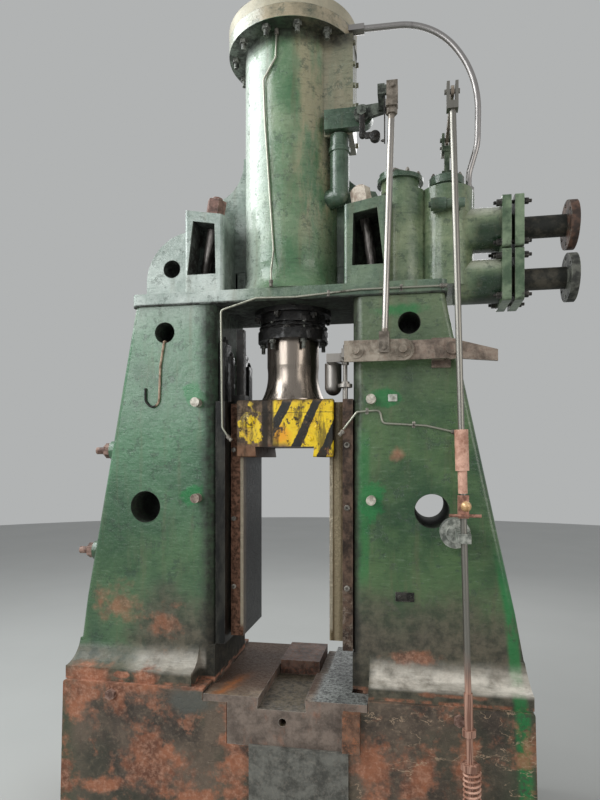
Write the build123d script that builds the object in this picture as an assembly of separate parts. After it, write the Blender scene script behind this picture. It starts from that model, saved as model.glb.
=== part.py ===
from build123d import *
import math
import os

# Double-frame steam forging hammer. Millimetres, +Z up, +X to the right of the working
# front, -Y towards the smith. The origin is on the floor, on the axis of the piston rod.

# Bed: the heavy base casting that both columns stand on
BED_TOP = 645.0
BED_LEFT_TOP = 950.0
BED_LEFT_FOOT = 966.0
BED_RIGHT_TOP = 1000.0
BED_RIGHT_FOOT = 1014.0
BED_FRONT = 360.0
BED_EDGE = 12.0
BED_BOLT_X = 722.0
BED_BOLT_Z = 600.0
BED_BOLT_R = 13.0

# Seat of the sow block in the bed
SEAT_FLOOR = 430.0
SEAT_LEFT = 210.0
SEAT_RIGHT = 342.0
HEAD_LEFT = 313.0
HEAD_RIGHT = 372.0
HEAD_FLOOR = 600.0
SEAT_GAP = 0.3
SOW_GAP = 3.0

# Sow block, its die slot and the key that wedges it
SOW_TOP = 630.0
SOW_BODY_RIGHT = 272.0
SLOT_LEFT = 80.0
SLOT_RIGHT = 123.0
SLOT_FLOOR = 583.0
SLOT_UNDERCUT = 6.0
NOTCH_DEPTH = 45.0
NOTCH_FROM_Y = -40.0
HANDLING_HOLE_X = 26.0
HANDLING_HOLE_Z = 535.0
HANDLING_HOLE_R = 16.0
HANDLING_HOLE_DEPTH = 90.0
KEY_OUT = 32.0
KEY_TAPER = 6.0
KEY_BOTTOM = 446.0
SLOT_BLOCK_FROM_Y = 60.0
SLOT_BLOCK_RISE = 18.0
APRON_LEFT = 112.0
APRON_RIGHT = 295.0
APRON_TOP = 438.0
APRON_THICK = 12.0
APRON_FLARE = 90.0

# Columns: tapering side frames with feet
COLUMN_TOP = 2280.0
COLUMN_INNER = 300.0
COLUMN_OUTER_TOP = 675.0
COLUMN_LEFT_KNEE_X = 912.0
COLUMN_RIGHT_KNEE_X = 950.0
COLUMN_KNEE_Z = 980.0
COLUMN_DEPTH = 480.0
COLUMN_INNER_ROUND = 42.0
COLUMN_OUTER_ROUND = 26.0
FOOT_OUT = 100.0
FOOT_BAND = 55.0
FOOT_SWEEP = 95.0
UPPER_HOLE = (532.0, COLUMN_TOP - 117.0, 45.0)
LOWER_HOLE = (623.0, 1392.0, 69.0)

# Bolts through the columns
GUIDE_BOLT_X = 378.0
GUIDE_BOLT_HEIGHTS = (1434.0, 1850.0)
GUIDE_BOLT_R = 20.0
GUIDE_BOLT_OUT = 42.0
SIDE_BOLT_HEIGHTS = (1180.0, 1643.0)
SIDE_BOLT_Y = -160.0
SIDE_BOLT_R = 20.0
SIDE_BOLT_OUT = 78.0
SIDE_BOSS_R = 44.0
SIDE_BOSS_OUT = 30.0
NUT_RATIO = 1.75
NUT_HEIGHT_RATIO = 1.6

# Guides and the gibs behind them
GUIDE_FACE = 193.0
GUIDE_BACK = 250.0
GUIDE_HALF_DEPTH = 165.0
GUIDE_BOTTOM = 820.0
GUIDE_TOP = COLUMN_TOP - 430.0
GIB_FACE = 257.0
GIB_TOP = GUIDE_TOP + 6.0
GIB_BOTTOM = 800.0
GIB_HALF_DEPTH = 232.0
SHIM_HALF_DEPTH = 90.0

# Ram: hangs at the top of its stroke
RAM_HALF = 215.0
RAM_HALF_DEPTH = 200.0
RAM_TOP = GUIDE_TOP + 12.0
RAM_BOTTOM = RAM_TOP - 249.0
RAM_GUIDE_GAP = 2.0
RAM_SLOT_HALF = 125.0
RAM_SLOT_DEPTH = 45.0
RAM_EDGE = 5.0

# Plate of the top casting, which closes the frame
PLATE_THICK = 55.0
PLATE_BOTTOM = COLUMN_TOP
PLATE_TOP = PLATE_BOTTOM + PLATE_THICK

# Piston rod, packing gland and cylinder
ROD_R = 120.0
ROD_FLARE_R = 147.0
ROD_FLARE_HEIGHT = 165.0
ROD_BORE_GAP = 1.0
PISTON_TOP = PLATE_TOP + 1070.0
PISTON_HEIGHT = 130.0
NECK_R = 150.0
NECK_DROP = 62.0
GLAND_R = 162.0
GLAND_THICK = 46.0
GLAND_DROP = 95.0
GLAND_STUD_PCD_R = 142.0
GLAND_STUD_R = 9.0
GLAND_STUD_COUNT = 6
GLAND_STUD_TAIL = 42.0
PLATE_HALF = 685.0
PLATE_FRONT = 250.0
CYLINDER_R = 220.0
CYLINDER_BORE_R = 170.0
CYLINDER_FLARE_R = 258.0
CYLINDER_FLARE_HEIGHT = 130.0
PISTON_GAP = 1.0
FLANGE_R = 295.0
FLANGE_BOTTOM = PLATE_TOP + 1115.0
FLANGE_THICK = 58.0
COVER_THICK = 50.0
DOME_FOOT_R = 232.0
DOME_TOP_R = 118.0
DOME_HEIGHT = 118.0
COVER_STUDS = 12
COVER_STUD_FIRST_DEG = 15.0
COVER_STUD_PCD_R = 262.0
COVER_STUD_R = 11.0
COVER_STUD_TAIL = 26.0

# Lug boxes on the top plate, and the inclined tie bolts in them
LUG_IN = 263.0
LUG_OUT = 439.0
LUG_FRONT = 240.0
LUG_BACK = 44.0
LUG_TOP = PLATE_TOP + 333.0
LUG_WINDOW_BOTTOM = PLATE_TOP + 77.0
LUG_WINDOW_TOP = LUG_TOP - 38.0
LUG_WINDOW_IN = 297.0
LUG_WINDOW_OUT_LOW = 432.0
LUG_WINDOW_OUT_HIGH = 401.0
LUG_POCKET = 165.0
TIE_SLOPE = 0.17
TIE_TOP_X = 338.0
TIE_Y = 142.0
TIE_R = 22.0
TIE_HOLE_GAP = 1.0
TIE_WASHER_R = 58.0
TIE_WASHER_THICK = 10.0
TIE_NUT_R = 44.0
TIE_NUT_HEIGHT = 78.0
TIE_TAIL = 14.0
WEB_HALF_DEPTH = 120.0
WEB_CORNER_R = 230.0
SADDLE_HALF_DEPTH = 60.0
SADDLE_TOP = PLATE_TOP + 655.0
SADDLE_SHOULDER = PLATE_TOP + 457.0
SADDLE_OUT = LUG_OUT - 55.0
WEB_OUT = 672.0
WEB_TOP = PLATE_TOP + 315.0
WEB_HOLE = (548.0, PLATE_TOP + 147.0, 40.0)

# Steam passage on the right of the cylinder
PORT_OUT = 292.0
PORT_FRONT = -145.0
PORT_BACK = 36.0
PORT_TOP = FLANGE_BOTTOM - SEAT_GAP
PORT_BOTTOM = PLATE_TOP + 675.0
DOWNPIPE_X = 232.0
DOWNPIPE_Y = -134.0
DOWNPIPE_R = 42.0
DOWNPIPE_LOW = PLATE_TOP + 415.0
DOWNPIPE_RING_Z = PLATE_TOP + 610.0

# Valve chest and its nozzles
CHEST_LEFT = LUG_OUT + 1.0
CHEST_RIGHT = 800.0
CHEST_HALF_DEPTH = 195.0
CHEST_TOP = PLATE_TOP + 420.0
CHEST_EDGE = 34.0
CAP_X = CHEST_LEFT + 52.0
CAP_Y = -70.0
CAP_R = 100.0
CAP_THICK = 18.0
CAP_LID_R = 66.0
CAP_LID_THICK = 24.0
CAP_LID_SHIFT = 26.0
CAP_BODY_R = 84.0
CAP_BODY_HEIGHT = 50.0
SMALL_CAP_Y = -60.0
SMALL_CAP_R = 75.0
SMALL_CAP_HEIGHT = 60.0
SPINDLE_Y = -40.0
VALVE_BODY_R = 112.0
CHEST_WALL_FRONT = -60.0
SPINDLE_R = 9.0
SPINDLE_PIN_R = 6.0
SPINDLE_LOW = 10.0
NOZZLE_Y = -60.0
NOZZLE_END = 908.0
UPPER_NOZZLE_Z = PLATE_TOP + 250.0
LOWER_NOZZLE_Z = PLATE_TOP + 30.0
NOZZLE_R = 92.0
NOZZLE_BORE_R = 38.0
FLANGE_SQUARE = 216.0
FLANGE_PLATE = 36.0
FLANGE_JOINT = 14.0
PIPE_R = 45.0
PIPE_END = 1212.0
PIPE_FLANGE_R = 100.0
PIPE_FLANGE_THICK = 34.0
PIPE_BOLT_PCD = 160.0
PIPE_BOLT_COUNT = 6
PIPE_BOLT_HOLE_R = 9.0

# Balance pipe from the cover to the chest
BALANCE_R = 13.0
BALANCE_Y = -100.0
BALANCE_END_X = 786.0
BALANCE_END_Y = -40.0
BALANCE_FITTING_R = 24.0
BALANCE_FITTING_HEIGHT = 30.0
BALANCE_START_X = 338.0
BALANCE_DROP = 16.0

# Valve lever in front of the right column, and its pivot bracket
LEVER_Y = -330.0
LEVER_PIVOT_X = 695.0
LEVER_Z = COLUMN_TOP - 246.0
LEVER_LEFT = 276.0
LEVER_RIGHT = 868.0
LEVER_HEIGHT = 84.0
LEVER_THICK = 16.0
LINK_RIGHT = 551.0
LINK_THICK = 14.0
LEVER_PIN_R = 15.0
LEVER_BOSS_R = 30.0
LEVER_LAP = 60.0
LEVER_TIP_LOW = 52.0
LEVER_TIP_HIGH = 8.0
LINK_LEFT_BOSS_IN = 48.0
LINK_RIGHT_BOSS_IN = 42.0
LINK_BOSS_OUT = 5.0
LINK_PIN_OUT = 22.0
PIN_GAP = 0.5
BRACKET_REACH = 74.0
BRACKET_HALF = 60.0
BRACKET_PAD = 16.0
BRACKET_EDGE = 30.0
BRACKET_ARM_IN = 26.0
BRACKET_ARM_HALF = 34.0
BRACKET_WEB_IN = 50.0
BRACKET_WEB_HALF = 24.0
BRACKET_ARM_GAP = 8.0
PIVOT_HEAD_R = 24.0
PIVOT_HEAD_OUT = 24.0
PIVOT_HEAD_GAP = 4.0
SHOE_X = 201.0
SHOE_HALF = 37.0
SHOE_BOTTOM = RAM_TOP + 22.0
SHOE_TOP = LEVER_Z - 10.0
SHOE_Y = -105.0
SHOE_ARM_HALF = 18.0
SHOE_ARM_THICK = 22.0
SHOE_ARM_WIDE = 30.0
SHOE_ARM_CLEAR = 8.0
SHOE_PAD_LEFT = LEVER_LEFT + 62.0
SHOE_PAD_RIGHT = LEVER_LEFT + 118.0
SHOE_PAD_HALF = 26.0
SHOE_STEM_HALF = 16.0
SHOE_STEM_RISE = 8.0
ADJUSTER_R = 9.0
ADJUSTER_BOSS_R = 20.0
ADJUSTER_RISE = 52.0

# Valve rod and the rocker at its top
VALVE_ROD_TOP = (466.0, PLATE_TOP + 738.0)
VALVE_ROD_FOOT = (435.0, COLUMN_TOP - 220.0)
VALVE_ROD_R = 13.0
VALVE_PIN_R = 8.0
FORK_GAP = 2.5
VALVE_PIN_RISE = 8.0
YOKE_RISE = 10.0
YOKE_THICK = 20.0
YOKE_HALF = 20.0
YOKE_CHEEK = 8.0
YOKE_SIDE_GAP = 3.0
YOKE_BELOW_PIN = 18.0
FORK_NECK_DROP = 76.0
FORK_HALF = 22.0
FORK_NECK = 24.0
FORK_SLOT = 14.0
FORK_CHEEK = 26.0
ROCKER_PIVOT = (336.0, PLATE_TOP + 725.0)
ROCKER_FACE_Y = -190.0
ROCKER_HUB_R = 34.0
ROCKER_HUB_THICK = 24.0
ROCKER_SHAFT_R = 12.0
ROCKER_SHAFT_OUT = 40.0
ROCKER_LUG_HALF = 10.0
ROCKER_ARM_HALF = 28.0
ROCKER_ARM_THICK = 22.0
BRACKET_ARM_BOSS_R = 44.0
BRACKET_ARM_TALL = 84.0
BRACKET_ARM_ROOT_X = 172.0

# Throttle rod, its rocker and post
THROTTLE_Y = -450.0
THROTTLE_TOP = (690.0, PLATE_TOP + 631.0)
THROTTLE_FOOT = (757.0, 330.0)
THROTTLE_R = 12.0
THROTTLE_PIN_R = 9.0
POST_Y = -105.0
POST_HALF = 11.0
POST_TOP = PLATE_TOP + 655.0
BLADE_THICK = 12.0
BLADE_HALF_HEIGHT = 15.0
BLADE_FRONT_EYE_R = 20.0
BLADE_POST_EYE_R = 22.0
BLADE_BACK_EYE_R = 15.0
BLADE_SLOT = 10.0
BLADE_CHEEK = 21.0
POST_FOOT_HALF = 22.0
POST_FOOT_THICK = 12.0
POST_FORK_HALF = 15.0
POST_FORK_DROP = 52.0
POST_FORK_THICK = 22.0
POST_PIN_OUT = 8.0
POST_PIN_DROP = 24.0
SPINDLE_FORK_HALF = 12.0
SPINDLE_FORK_DROP = 40.0
SPINDLE_FORK_THICK = 16.0
SPINDLE_FORK_RISE = 12.0
SPINDLE_PIN_OUT = 6.0
CLEVIS_HALF = 19.0
CLEVIS_DROP = 70.0
CLEVIS_THICK = 28.0
CLEVIS_RISE = 30.0
ROD_COLLAR_TOP_Z = 740.0
ROD_COLLAR_FOOT_Z = 590.0
ROD_COLLAR_OVER = 4.0
ROD_RING_TOP_Z = 606.0
ROD_RING_FOOT_Z = 582.0
ROD_RING_OVER = 13.0
SLEEVE_R = 25.0
SLEEVE_FROM_Z = 1560.0
SLEEVE_TO_Z = 1712.0
HUB_Z = 1311.0
HUB_R = 58.0
HUB_OUT = 78.0
EYE_HALF = 24.0
HUB_ARM_HALF = 18.0
HUB_BOSS_OUT = 14.0
HUB_SHIFT = 22.0
KNOB_Z = 1432.0
KNOB_R = 19.0
KNOB_OUT = 50.0
KNOB_SHIFT = 6.0
KNOB_NECK_R = 8.0
CLAMP_HALF_WIDE = 19.0
CLAMP_HALF_DEEP = 22.0
CLAMP_DROP = 46.0
CLAMP_RISE = 38.0
CROSS_BAR_R = 6.0
CROSS_BAR_DROP = 36.0
CROSS_BAR_OUT = 26.0
CROSS_BAR_LEFT = 52.0
CROSS_BAR_RIGHT = 62.0
SLEEVE_NECK_LONG = 84.0
SLEEVE_NECK_STEP = 8.0
SPRING_R = 34.0
SPRING_WIRE = 8.0
SPRING_SEAT_Z = 190.0
SPRING_TOP_Z = 455.0
SPRING_LEAN_GAP = 1.2
SPRING_NUT_HEIGHT = 24.0
SPRING_ROD_BELOW = 60.0
SPRING_BRACKET_HALF = 45.0
SPRING_BRACKET_THICK = 16.0
SPRING_BRACKET_DROP = 90.0

# Small pieces
POST_BAR_HALF = 17.0
POST_BAR_TOP = COLUMN_TOP - 90.0
POST_BAR_Y = -100.0
POST_BLOCK_HALF = 34.0
POST_BLOCK_HEIGHT = 42.0
STOP_TOP = GIB_TOP + 74.0
STOP_X = 266.0
STOP_Y = -212.0
STOP_STEM_R = 11.0
STOP_DISC_R = 30.0
STOP_HEAD_R = 18.0
TUBE_R = 4.5
TUBE_CLEAR = 4.0
HOOK_R = 5.0


def box(x0, x1, y0, y1, z0, z1):
    """A block between two corners."""
    centre = ((x0 + x1) / 2, (y0 + y1) / 2, (z0 + z1) / 2)
    return Pos(*centre) * Box(abs(x1 - x0), abs(y1 - y0), abs(z1 - z0))


def bar(start, end, radius):
    """A round bar from one point to another."""
    run = Vector(*end) - Vector(*start)
    return Solid.make_cylinder(radius, run.length, Plane(origin=start, z_dir=run))


def hexagon(start, end, across_corners):
    """A hexagonal bar from one point to another."""
    run = Vector(*end) - Vector(*start)
    plane = Plane(origin=start, z_dir=run)
    return extrude(plane * RegularPolygon(across_corners, 6), run.length)


def nut(start, direction, stud_r, height=None):
    """A hexagonal nut that starts on a face and grows along a direction."""
    tall = height if height else stud_r * NUT_HEIGHT_RATIO
    end = Vector(*start) + Vector(*direction).normalized() * tall
    return hexagon(start, tuple(end), stud_r * NUT_RATIO)


def front_outline(points, half_depth):
    """An outline in the front view, given as X and Z, made thick both ways from the middle."""
    face = make_face(Polyline(*[(x, 0, z) for x, z in points], close=True))
    return extrude(face, amount=half_depth, dir=(0, 1, 0), both=True)


def turned(points, x=0.0, y=0.0):
    """A body turned about a vertical axis from an outline of radius and height."""
    face = make_face(Polyline(*[(r, 0, z) for r, z in points], close=True))
    return Pos(x, y, 0) * revolve(face, Axis.Z)


def ring(outer, inner, z0, z1, x=0.0, y=0.0):
    """A flat ring about a vertical axis."""
    return turned([(inner, z0), (outer, z0), (outer, z1), (inner, z1)], x, y)


def hollow_arc(start, end):
    """A concave arc that leaves the start upright and sweeps out to the end."""
    out, down = end[0] - start[0], start[1] - end[1]
    share = math.sqrt(0.5)
    middle = (end[0] - out * share, start[1] - down * share)
    return ThreePointArc(start, middle, end)


def drawn_face(*lines):
    """A flat face from lines and arcs that meet end to end."""
    return make_face([edge for line in lines for edge in line.edges()])


def around(count, radius, start_deg=0.0):
    """Points spaced evenly round the vertical axis, the first one at the front."""
    for i in range(count):
        angle = math.radians(start_deg + 360.0 * i / count)
        yield radius * math.sin(angle), -radius * math.cos(angle)


def tube(points, radius, bend):
    """A thin tube along straight runs joined by arcs."""
    path = FilletPolyline(*points, radius=bend)
    start = path @ 0
    section = Plane(origin=start, z_dir=path % 0) * Circle(radius)
    return sweep(section, path)


def write(name, *shapes):
    """Writes one named piece, which may be several solids."""
    solids = [solid for shape in shapes for solid in shape.solids()]
    whole = solids[0] if len(solids) == 1 else Compound(solids)
    export_step(whole, f"parts/{name}.step")


def mirror_x(shape):
    return mirror(shape, Plane.YZ)


def edge_x(z, knee_x):
    """Outer edge of a column at a height above its knee."""
    share = (COLUMN_TOP - z) / (COLUMN_TOP - COLUMN_KNEE_Z)
    return COLUMN_OUTER_TOP + share * (knee_x - COLUMN_OUTER_TOP)


def left_edge_x(z):
    return edge_x(z, COLUMN_LEFT_KNEE_X)


def on_line(top, foot, z):
    """X of a leaning rod at a height."""
    return foot[0] + (top[0] - foot[0]) * (z - foot[1]) / (top[1] - foot[1])


os.makedirs("parts", exist_ok=True)

COLUMN_HALF = COLUMN_DEPTH / 2
FOOT_FRONT = COLUMN_HALF + FOOT_OUT
FLANGE_TOP = FLANGE_BOTTOM + FLANGE_THICK
COVER_TOP = FLANGE_TOP + COVER_THICK


def bed():
    """Base casting with a stepped seat across its middle."""
    sides = [
        (-BED_LEFT_FOOT, 0),
        (BED_RIGHT_FOOT, 0),
        (BED_RIGHT_TOP, BED_TOP),
        (-BED_LEFT_TOP, BED_TOP),
    ]
    body = front_outline(sides, BED_FRONT)
    body = fillet(body.edges().filter_by(Axis.Y), BED_EDGE)
    reach = BED_FRONT + 10
    body -= box(-SEAT_LEFT, SEAT_RIGHT, -reach, reach, SEAT_FLOOR, BED_TOP + 10)
    body -= box(-COLUMN_INNER, COLUMN_INNER, -reach, reach, HEAD_FLOOR, BED_TOP + 10)
    for side in (-1, 1):
        y0, y1 = side * COLUMN_HALF, side * reach
        body -= box(-HEAD_LEFT, HEAD_RIGHT, min(y0, y1), max(y0, y1), HEAD_FLOOR, BED_TOP + 10)
    return body


def bed_bolts():
    """Bolt heads on the front and back of the bed."""
    out = []
    for x in (-BED_BOLT_X, BED_BOLT_X):
        for side in (-1, 1):
            start = (x, side * BED_FRONT, BED_BOLT_Z)
            out.append(nut(start, (0, side, 0), BED_BOLT_R))
    return out


def sow_block():
    """Steel block in the seat, with a slot for the lower die from front to back."""
    front = BED_FRONT
    body = box(-SEAT_LEFT + SOW_GAP, SOW_BODY_RIGHT, -front, front, SEAT_FLOOR + SEAT_GAP, SOW_TOP)
    inner = COLUMN_INNER - SOW_GAP
    low = HEAD_FLOOR + SEAT_GAP
    body += box(-inner, inner, -front, front, low, SOW_TOP)
    for side in (-1, 1):
        y0, y1 = side * (COLUMN_HALF + SOW_GAP), side * front
        left, right = -HEAD_LEFT + SOW_GAP, HEAD_RIGHT - SOW_GAP
        body += box(left, right, min(y0, y1), max(y0, y1), low, SOW_TOP)
    slot = [
        (-SLOT_LEFT, SLOT_FLOOR),
        (SLOT_RIGHT, SLOT_FLOOR),
        (SLOT_RIGHT - SLOT_UNDERCUT, SOW_TOP + 5),
        (-SLOT_LEFT + SLOT_UNDERCUT, SOW_TOP + 5),
    ]
    body -= front_outline(slot, front + 10)
    notch_left, notch_right = SLOT_RIGHT - 20, SLOT_RIGHT + NOTCH_DEPTH
    body -= box(notch_left, notch_right, NOTCH_FROM_Y, front + 10, HEAD_FLOOR + 6, SOW_TOP + 5)
    hole_start = (HANDLING_HOLE_X, -front - 5, HANDLING_HOLE_Z)
    hole_end = (HANDLING_HOLE_X, -front + HANDLING_HOLE_DEPTH, HANDLING_HOLE_Z)
    return body - bar(hole_start, hole_end, HANDLING_HOLE_R)


def wedge_key():
    """Tapered key driven in beside the sow block."""
    left, right = SOW_BODY_RIGHT + SEAT_GAP, SEAT_RIGHT - SEAT_GAP
    top = HEAD_FLOOR - SEAT_GAP
    front, back = -BED_FRONT - KEY_OUT, BED_FRONT - KEY_OUT
    outline = [(left, front), (right, front), (right, back), (left + KEY_TAPER, back)]
    face = make_face(Polyline(*[(x, y, KEY_BOTTOM) for x, y in outline], close=True))
    return extrude(face, amount=top - KEY_BOTTOM, dir=(0, 0, 1))


def slot_block():
    """Filler block left in the back of the die slot."""
    left, right = -SLOT_LEFT + SLOT_UNDERCUT + 2, SLOT_RIGHT - SLOT_UNDERCUT - 2
    low, top = SLOT_FLOOR + SEAT_GAP, SOW_TOP + SLOT_BLOCK_RISE
    return box(left, right, SLOT_BLOCK_FROM_Y, BED_FRONT - 20, low, top)


def apron_plate():
    """Scale chute below the sow block, bent outwards at its foot."""
    front = -BED_FRONT - SEAT_GAP
    out = front - APRON_FLARE
    knee = APRON_TOP * 0.45
    profile = [
        (front, APRON_TOP),
        (front, knee),
        (out, 0.5),
        (out - APRON_THICK, 0.5),
        (front - APRON_THICK, knee),
        (front - APRON_THICK, APRON_TOP),
    ]
    face = make_face(Polyline(*[(-APRON_LEFT, y, z) for y, z in profile], close=True))
    return extrude(face, amount=APRON_LEFT + APRON_RIGHT, dir=(1, 0, 0))


def column(knee_x, foot_x):
    """A column to the right of the rod: a tapering casting on a swept-out foot."""
    outline = [
        (COLUMN_INNER, BED_TOP),
        (COLUMN_INNER, COLUMN_TOP),
        (COLUMN_OUTER_TOP, COLUMN_TOP),
        (knee_x, COLUMN_KNEE_Z),
        (foot_x, BED_TOP + FOOT_BAND),
        (foot_x, BED_TOP),
    ]
    trunk = front_outline(outline, COLUMN_HALF)
    upright = trunk.edges().filter_by(Axis.Z).sort_by(Axis.X)
    trunk = fillet(upright[:2], COLUMN_INNER_ROUND)
    slanted = []
    for edge in trunk.edges():
        size = edge.bounding_box().size
        if size.Y < 1 and size.X > 100 and size.Z > 500:
            slanted.append(edge)
    trunk = fillet(slanted, COLUMN_OUTER_ROUND)
    band_top = BED_TOP + FOOT_BAND
    sweep_top = band_top + FOOT_SWEEP
    sole = Polyline(
        (-FOOT_FRONT, band_top),
        (-FOOT_FRONT, BED_TOP),
        (FOOT_FRONT, BED_TOP),
        (FOOT_FRONT, band_top),
    )
    back_arc = hollow_arc((COLUMN_HALF, sweep_top), (FOOT_FRONT, band_top))
    front_arc = hollow_arc((-COLUMN_HALF, sweep_top), (-FOOT_FRONT, band_top))
    bridge = Line((COLUMN_HALF, sweep_top), (-COLUMN_HALF, sweep_top))
    face = Plane.YZ * drawn_face(sole, back_arc, bridge, front_arc)
    foot = extrude(face, amount=foot_x, dir=(1, 0, 0))
    foot &= front_outline(outline, FOOT_FRONT + 10)
    foot -= box(0, HEAD_RIGHT, -FOOT_FRONT - 10, -COLUMN_HALF, 0, COLUMN_TOP)
    foot -= box(0, HEAD_RIGHT, COLUMN_HALF, FOOT_FRONT + 10, 0, COLUMN_TOP)
    body = trunk + foot
    for x, z, r in (UPPER_HOLE, LOWER_HOLE):
        body -= bar((x, -COLUMN_HALF - 5, z), (x, COLUMN_HALF + 5, z), r)
    return body


def side_bosses():
    """Round bosses on the outer side of the left column."""
    out = []
    for z in SIDE_BOLT_HEIGHTS:
        edge = -left_edge_x(z)
        root = (edge + 60, SIDE_BOLT_Y, z)
        out.append(bar(root, (edge - SIDE_BOSS_OUT, SIDE_BOLT_Y, z), SIDE_BOSS_R))
    return out


def side_bolts():
    """Nuts and bolt ends on the bosses of the left column."""
    out = []
    for z in SIDE_BOLT_HEIGHTS:
        start = (-left_edge_x(z) - SIDE_BOSS_OUT, SIDE_BOLT_Y, z)
        end = (start[0] - SIDE_BOLT_OUT, SIDE_BOLT_Y, z)
        out.append(nut(start, (-1, 0, 0), SIDE_BOLT_R) + bar(start, end, SIDE_BOLT_R * 0.8))
    return out


def guide_bolts():
    """Ends of the gib bolts on both faces of the right column."""
    out = []
    for z in GUIDE_BOLT_HEIGHTS:
        for side in (-1, 1):
            y = side * COLUMN_HALF
            out.append(bar((GUIDE_BOLT_X, y, z), (GUIDE_BOLT_X, y + side * GUIDE_BOLT_OUT, z), GUIDE_BOLT_R))
    return out


def guide():
    """Right-hand guide with the face that the ram runs on."""
    return box(GUIDE_FACE, GUIDE_BACK, -GUIDE_HALF_DEPTH, GUIDE_HALF_DEPTH, GUIDE_BOTTOM, GUIDE_TOP)


def gib():
    """Adjusting gib between the guide and the column, with spacer ribs to the guide."""
    outer = COLUMN_INNER - SEAT_GAP
    body = box(GIB_FACE, outer, -GIB_HALF_DEPTH, GIB_HALF_DEPTH, GIB_BOTTOM, GIB_TOP)
    for z in GUIDE_BOLT_HEIGHTS:
        body += box(GUIDE_BACK + SEAT_GAP, GIB_FACE, -SHIM_HALF_DEPTH, SHIM_HALF_DEPTH, z - 60, z - 20)
    low = GUIDE_BOTTOM
    return body + box(GUIDE_BACK + SEAT_GAP, GIB_FACE, -SHIM_HALF_DEPTH, SHIM_HALF_DEPTH, low, low + 60)


def ram():
    """Steel ram with grooves for the guides and a slot for the upper die."""
    body = box(-RAM_HALF, RAM_HALF, -RAM_HALF_DEPTH, RAM_HALF_DEPTH, RAM_BOTTOM, RAM_TOP)
    body = chamfer(body.edges(), RAM_EDGE)
    groove = GUIDE_HALF_DEPTH + RAM_GUIDE_GAP
    for side in (-1, 1):
        x0, x1 = side * (GUIDE_FACE - RAM_GUIDE_GAP), side * (RAM_HALF + 5)
        body -= box(min(x0, x1), max(x0, x1), -groove, groove, RAM_BOTTOM - 5, RAM_TOP + 5)
    slot = [
        (-RAM_SLOT_HALF, RAM_BOTTOM - 5),
        (RAM_SLOT_HALF, RAM_BOTTOM - 5),
        (RAM_SLOT_HALF + SLOT_UNDERCUT, RAM_BOTTOM + RAM_SLOT_DEPTH),
        (-RAM_SLOT_HALF - SLOT_UNDERCUT, RAM_BOTTOM + RAM_SLOT_DEPTH),
    ]
    return body - front_outline(slot, RAM_HALF_DEPTH + 10)


def piston_rod():
    """Polished rod with a flared foot on the ram and the piston at its head."""
    foot = RAM_TOP + SEAT_GAP
    piston_low = PISTON_TOP - PISTON_HEIGHT
    piston_r = CYLINDER_BORE_R - PISTON_GAP
    flare_top = (ROD_R, foot + ROD_FLARE_HEIGHT)
    flare_foot = (ROD_FLARE_R, foot + 12)
    inner = Polyline((0, PISTON_TOP), (0, foot), (ROD_FLARE_R, foot), flare_foot)
    flare = hollow_arc(flare_top, flare_foot)
    outer = Polyline(
        flare_top,
        (ROD_R, piston_low),
        (piston_r, piston_low),
        (piston_r, PISTON_TOP),
        (0, PISTON_TOP),
    )
    return revolve(Plane.XZ * drawn_face(inner, flare, outer), Axis.Z)


def lug_box():
    """Right front lug box of the top casting, hollow and open to the front."""
    tilt = TIE_SLOPE * (LUG_OUT - LUG_IN)
    shell = [
        (LUG_IN, PLATE_TOP - 5),
        (LUG_OUT, PLATE_TOP - 5),
        (LUG_OUT, LUG_TOP + tilt),
        (LUG_IN, LUG_TOP),
    ]
    window_tilt = TIE_SLOPE * (LUG_WINDOW_OUT_HIGH - LUG_WINDOW_IN)
    window = [
        (LUG_WINDOW_IN, LUG_WINDOW_BOTTOM),
        (LUG_WINDOW_OUT_LOW - 4, LUG_WINDOW_BOTTOM),
        (LUG_WINDOW_OUT_HIGH, LUG_WINDOW_TOP + window_tilt),
        (LUG_WINDOW_IN + 5, LUG_WINDOW_TOP),
    ]
    middle = -(LUG_FRONT + LUG_BACK) / 2
    half = (LUG_FRONT - LUG_BACK) / 2
    outer = Pos(0, middle, 0) * front_outline(shell, half)
    outer = fillet(outer.edges().filter_by(Axis.Z), 14)
    pocket = Pos(0, -LUG_FRONT, 0) * front_outline(window, LUG_POCKET)
    return outer - pocket


def tie_point(z):
    """A point on the axis of the right front tie bolt."""
    return (TIE_TOP_X + TIE_SLOPE * (LUG_TOP - z), -TIE_Y, z)


def tie_seat_z():
    """Height of the lug box's top face on the axis of the tie bolt."""
    return LUG_TOP + TIE_SLOPE * (TIE_TOP_X - LUG_IN) / (1 + TIE_SLOPE**2)


def saddle():
    """Curved shoulder between the cylinder and the right-hand lug boxes."""
    inner = CYLINDER_R - 30
    top = (CYLINDER_R + 1, SADDLE_TOP)
    shoulder = (SADDLE_OUT, SADDLE_SHOULDER)
    low = Polyline(
        shoulder,
        (LUG_OUT - 26, SADDLE_SHOULDER - 57),
        (LUG_OUT - 26, PLATE_TOP - 5),
        (inner, PLATE_TOP - 5),
        (inner, SADDLE_TOP),
        top,
    )
    face = Plane.XZ * drawn_face(low, hollow_arc(top, shoulder))
    body = extrude(face, amount=SADDLE_HALF_DEPTH, both=True)
    body -= bar((0, 0, PLATE_TOP - 10), (0, 0, SADDLE_TOP + 10), CYLINDER_R + SEAT_GAP)
    skirt_top = PLATE_TOP + CYLINDER_FLARE_HEIGHT + 2
    return body - bar((0, 0, PLATE_TOP), (0, 0, skirt_top), CYLINDER_FLARE_R + SEAT_GAP)


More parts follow.
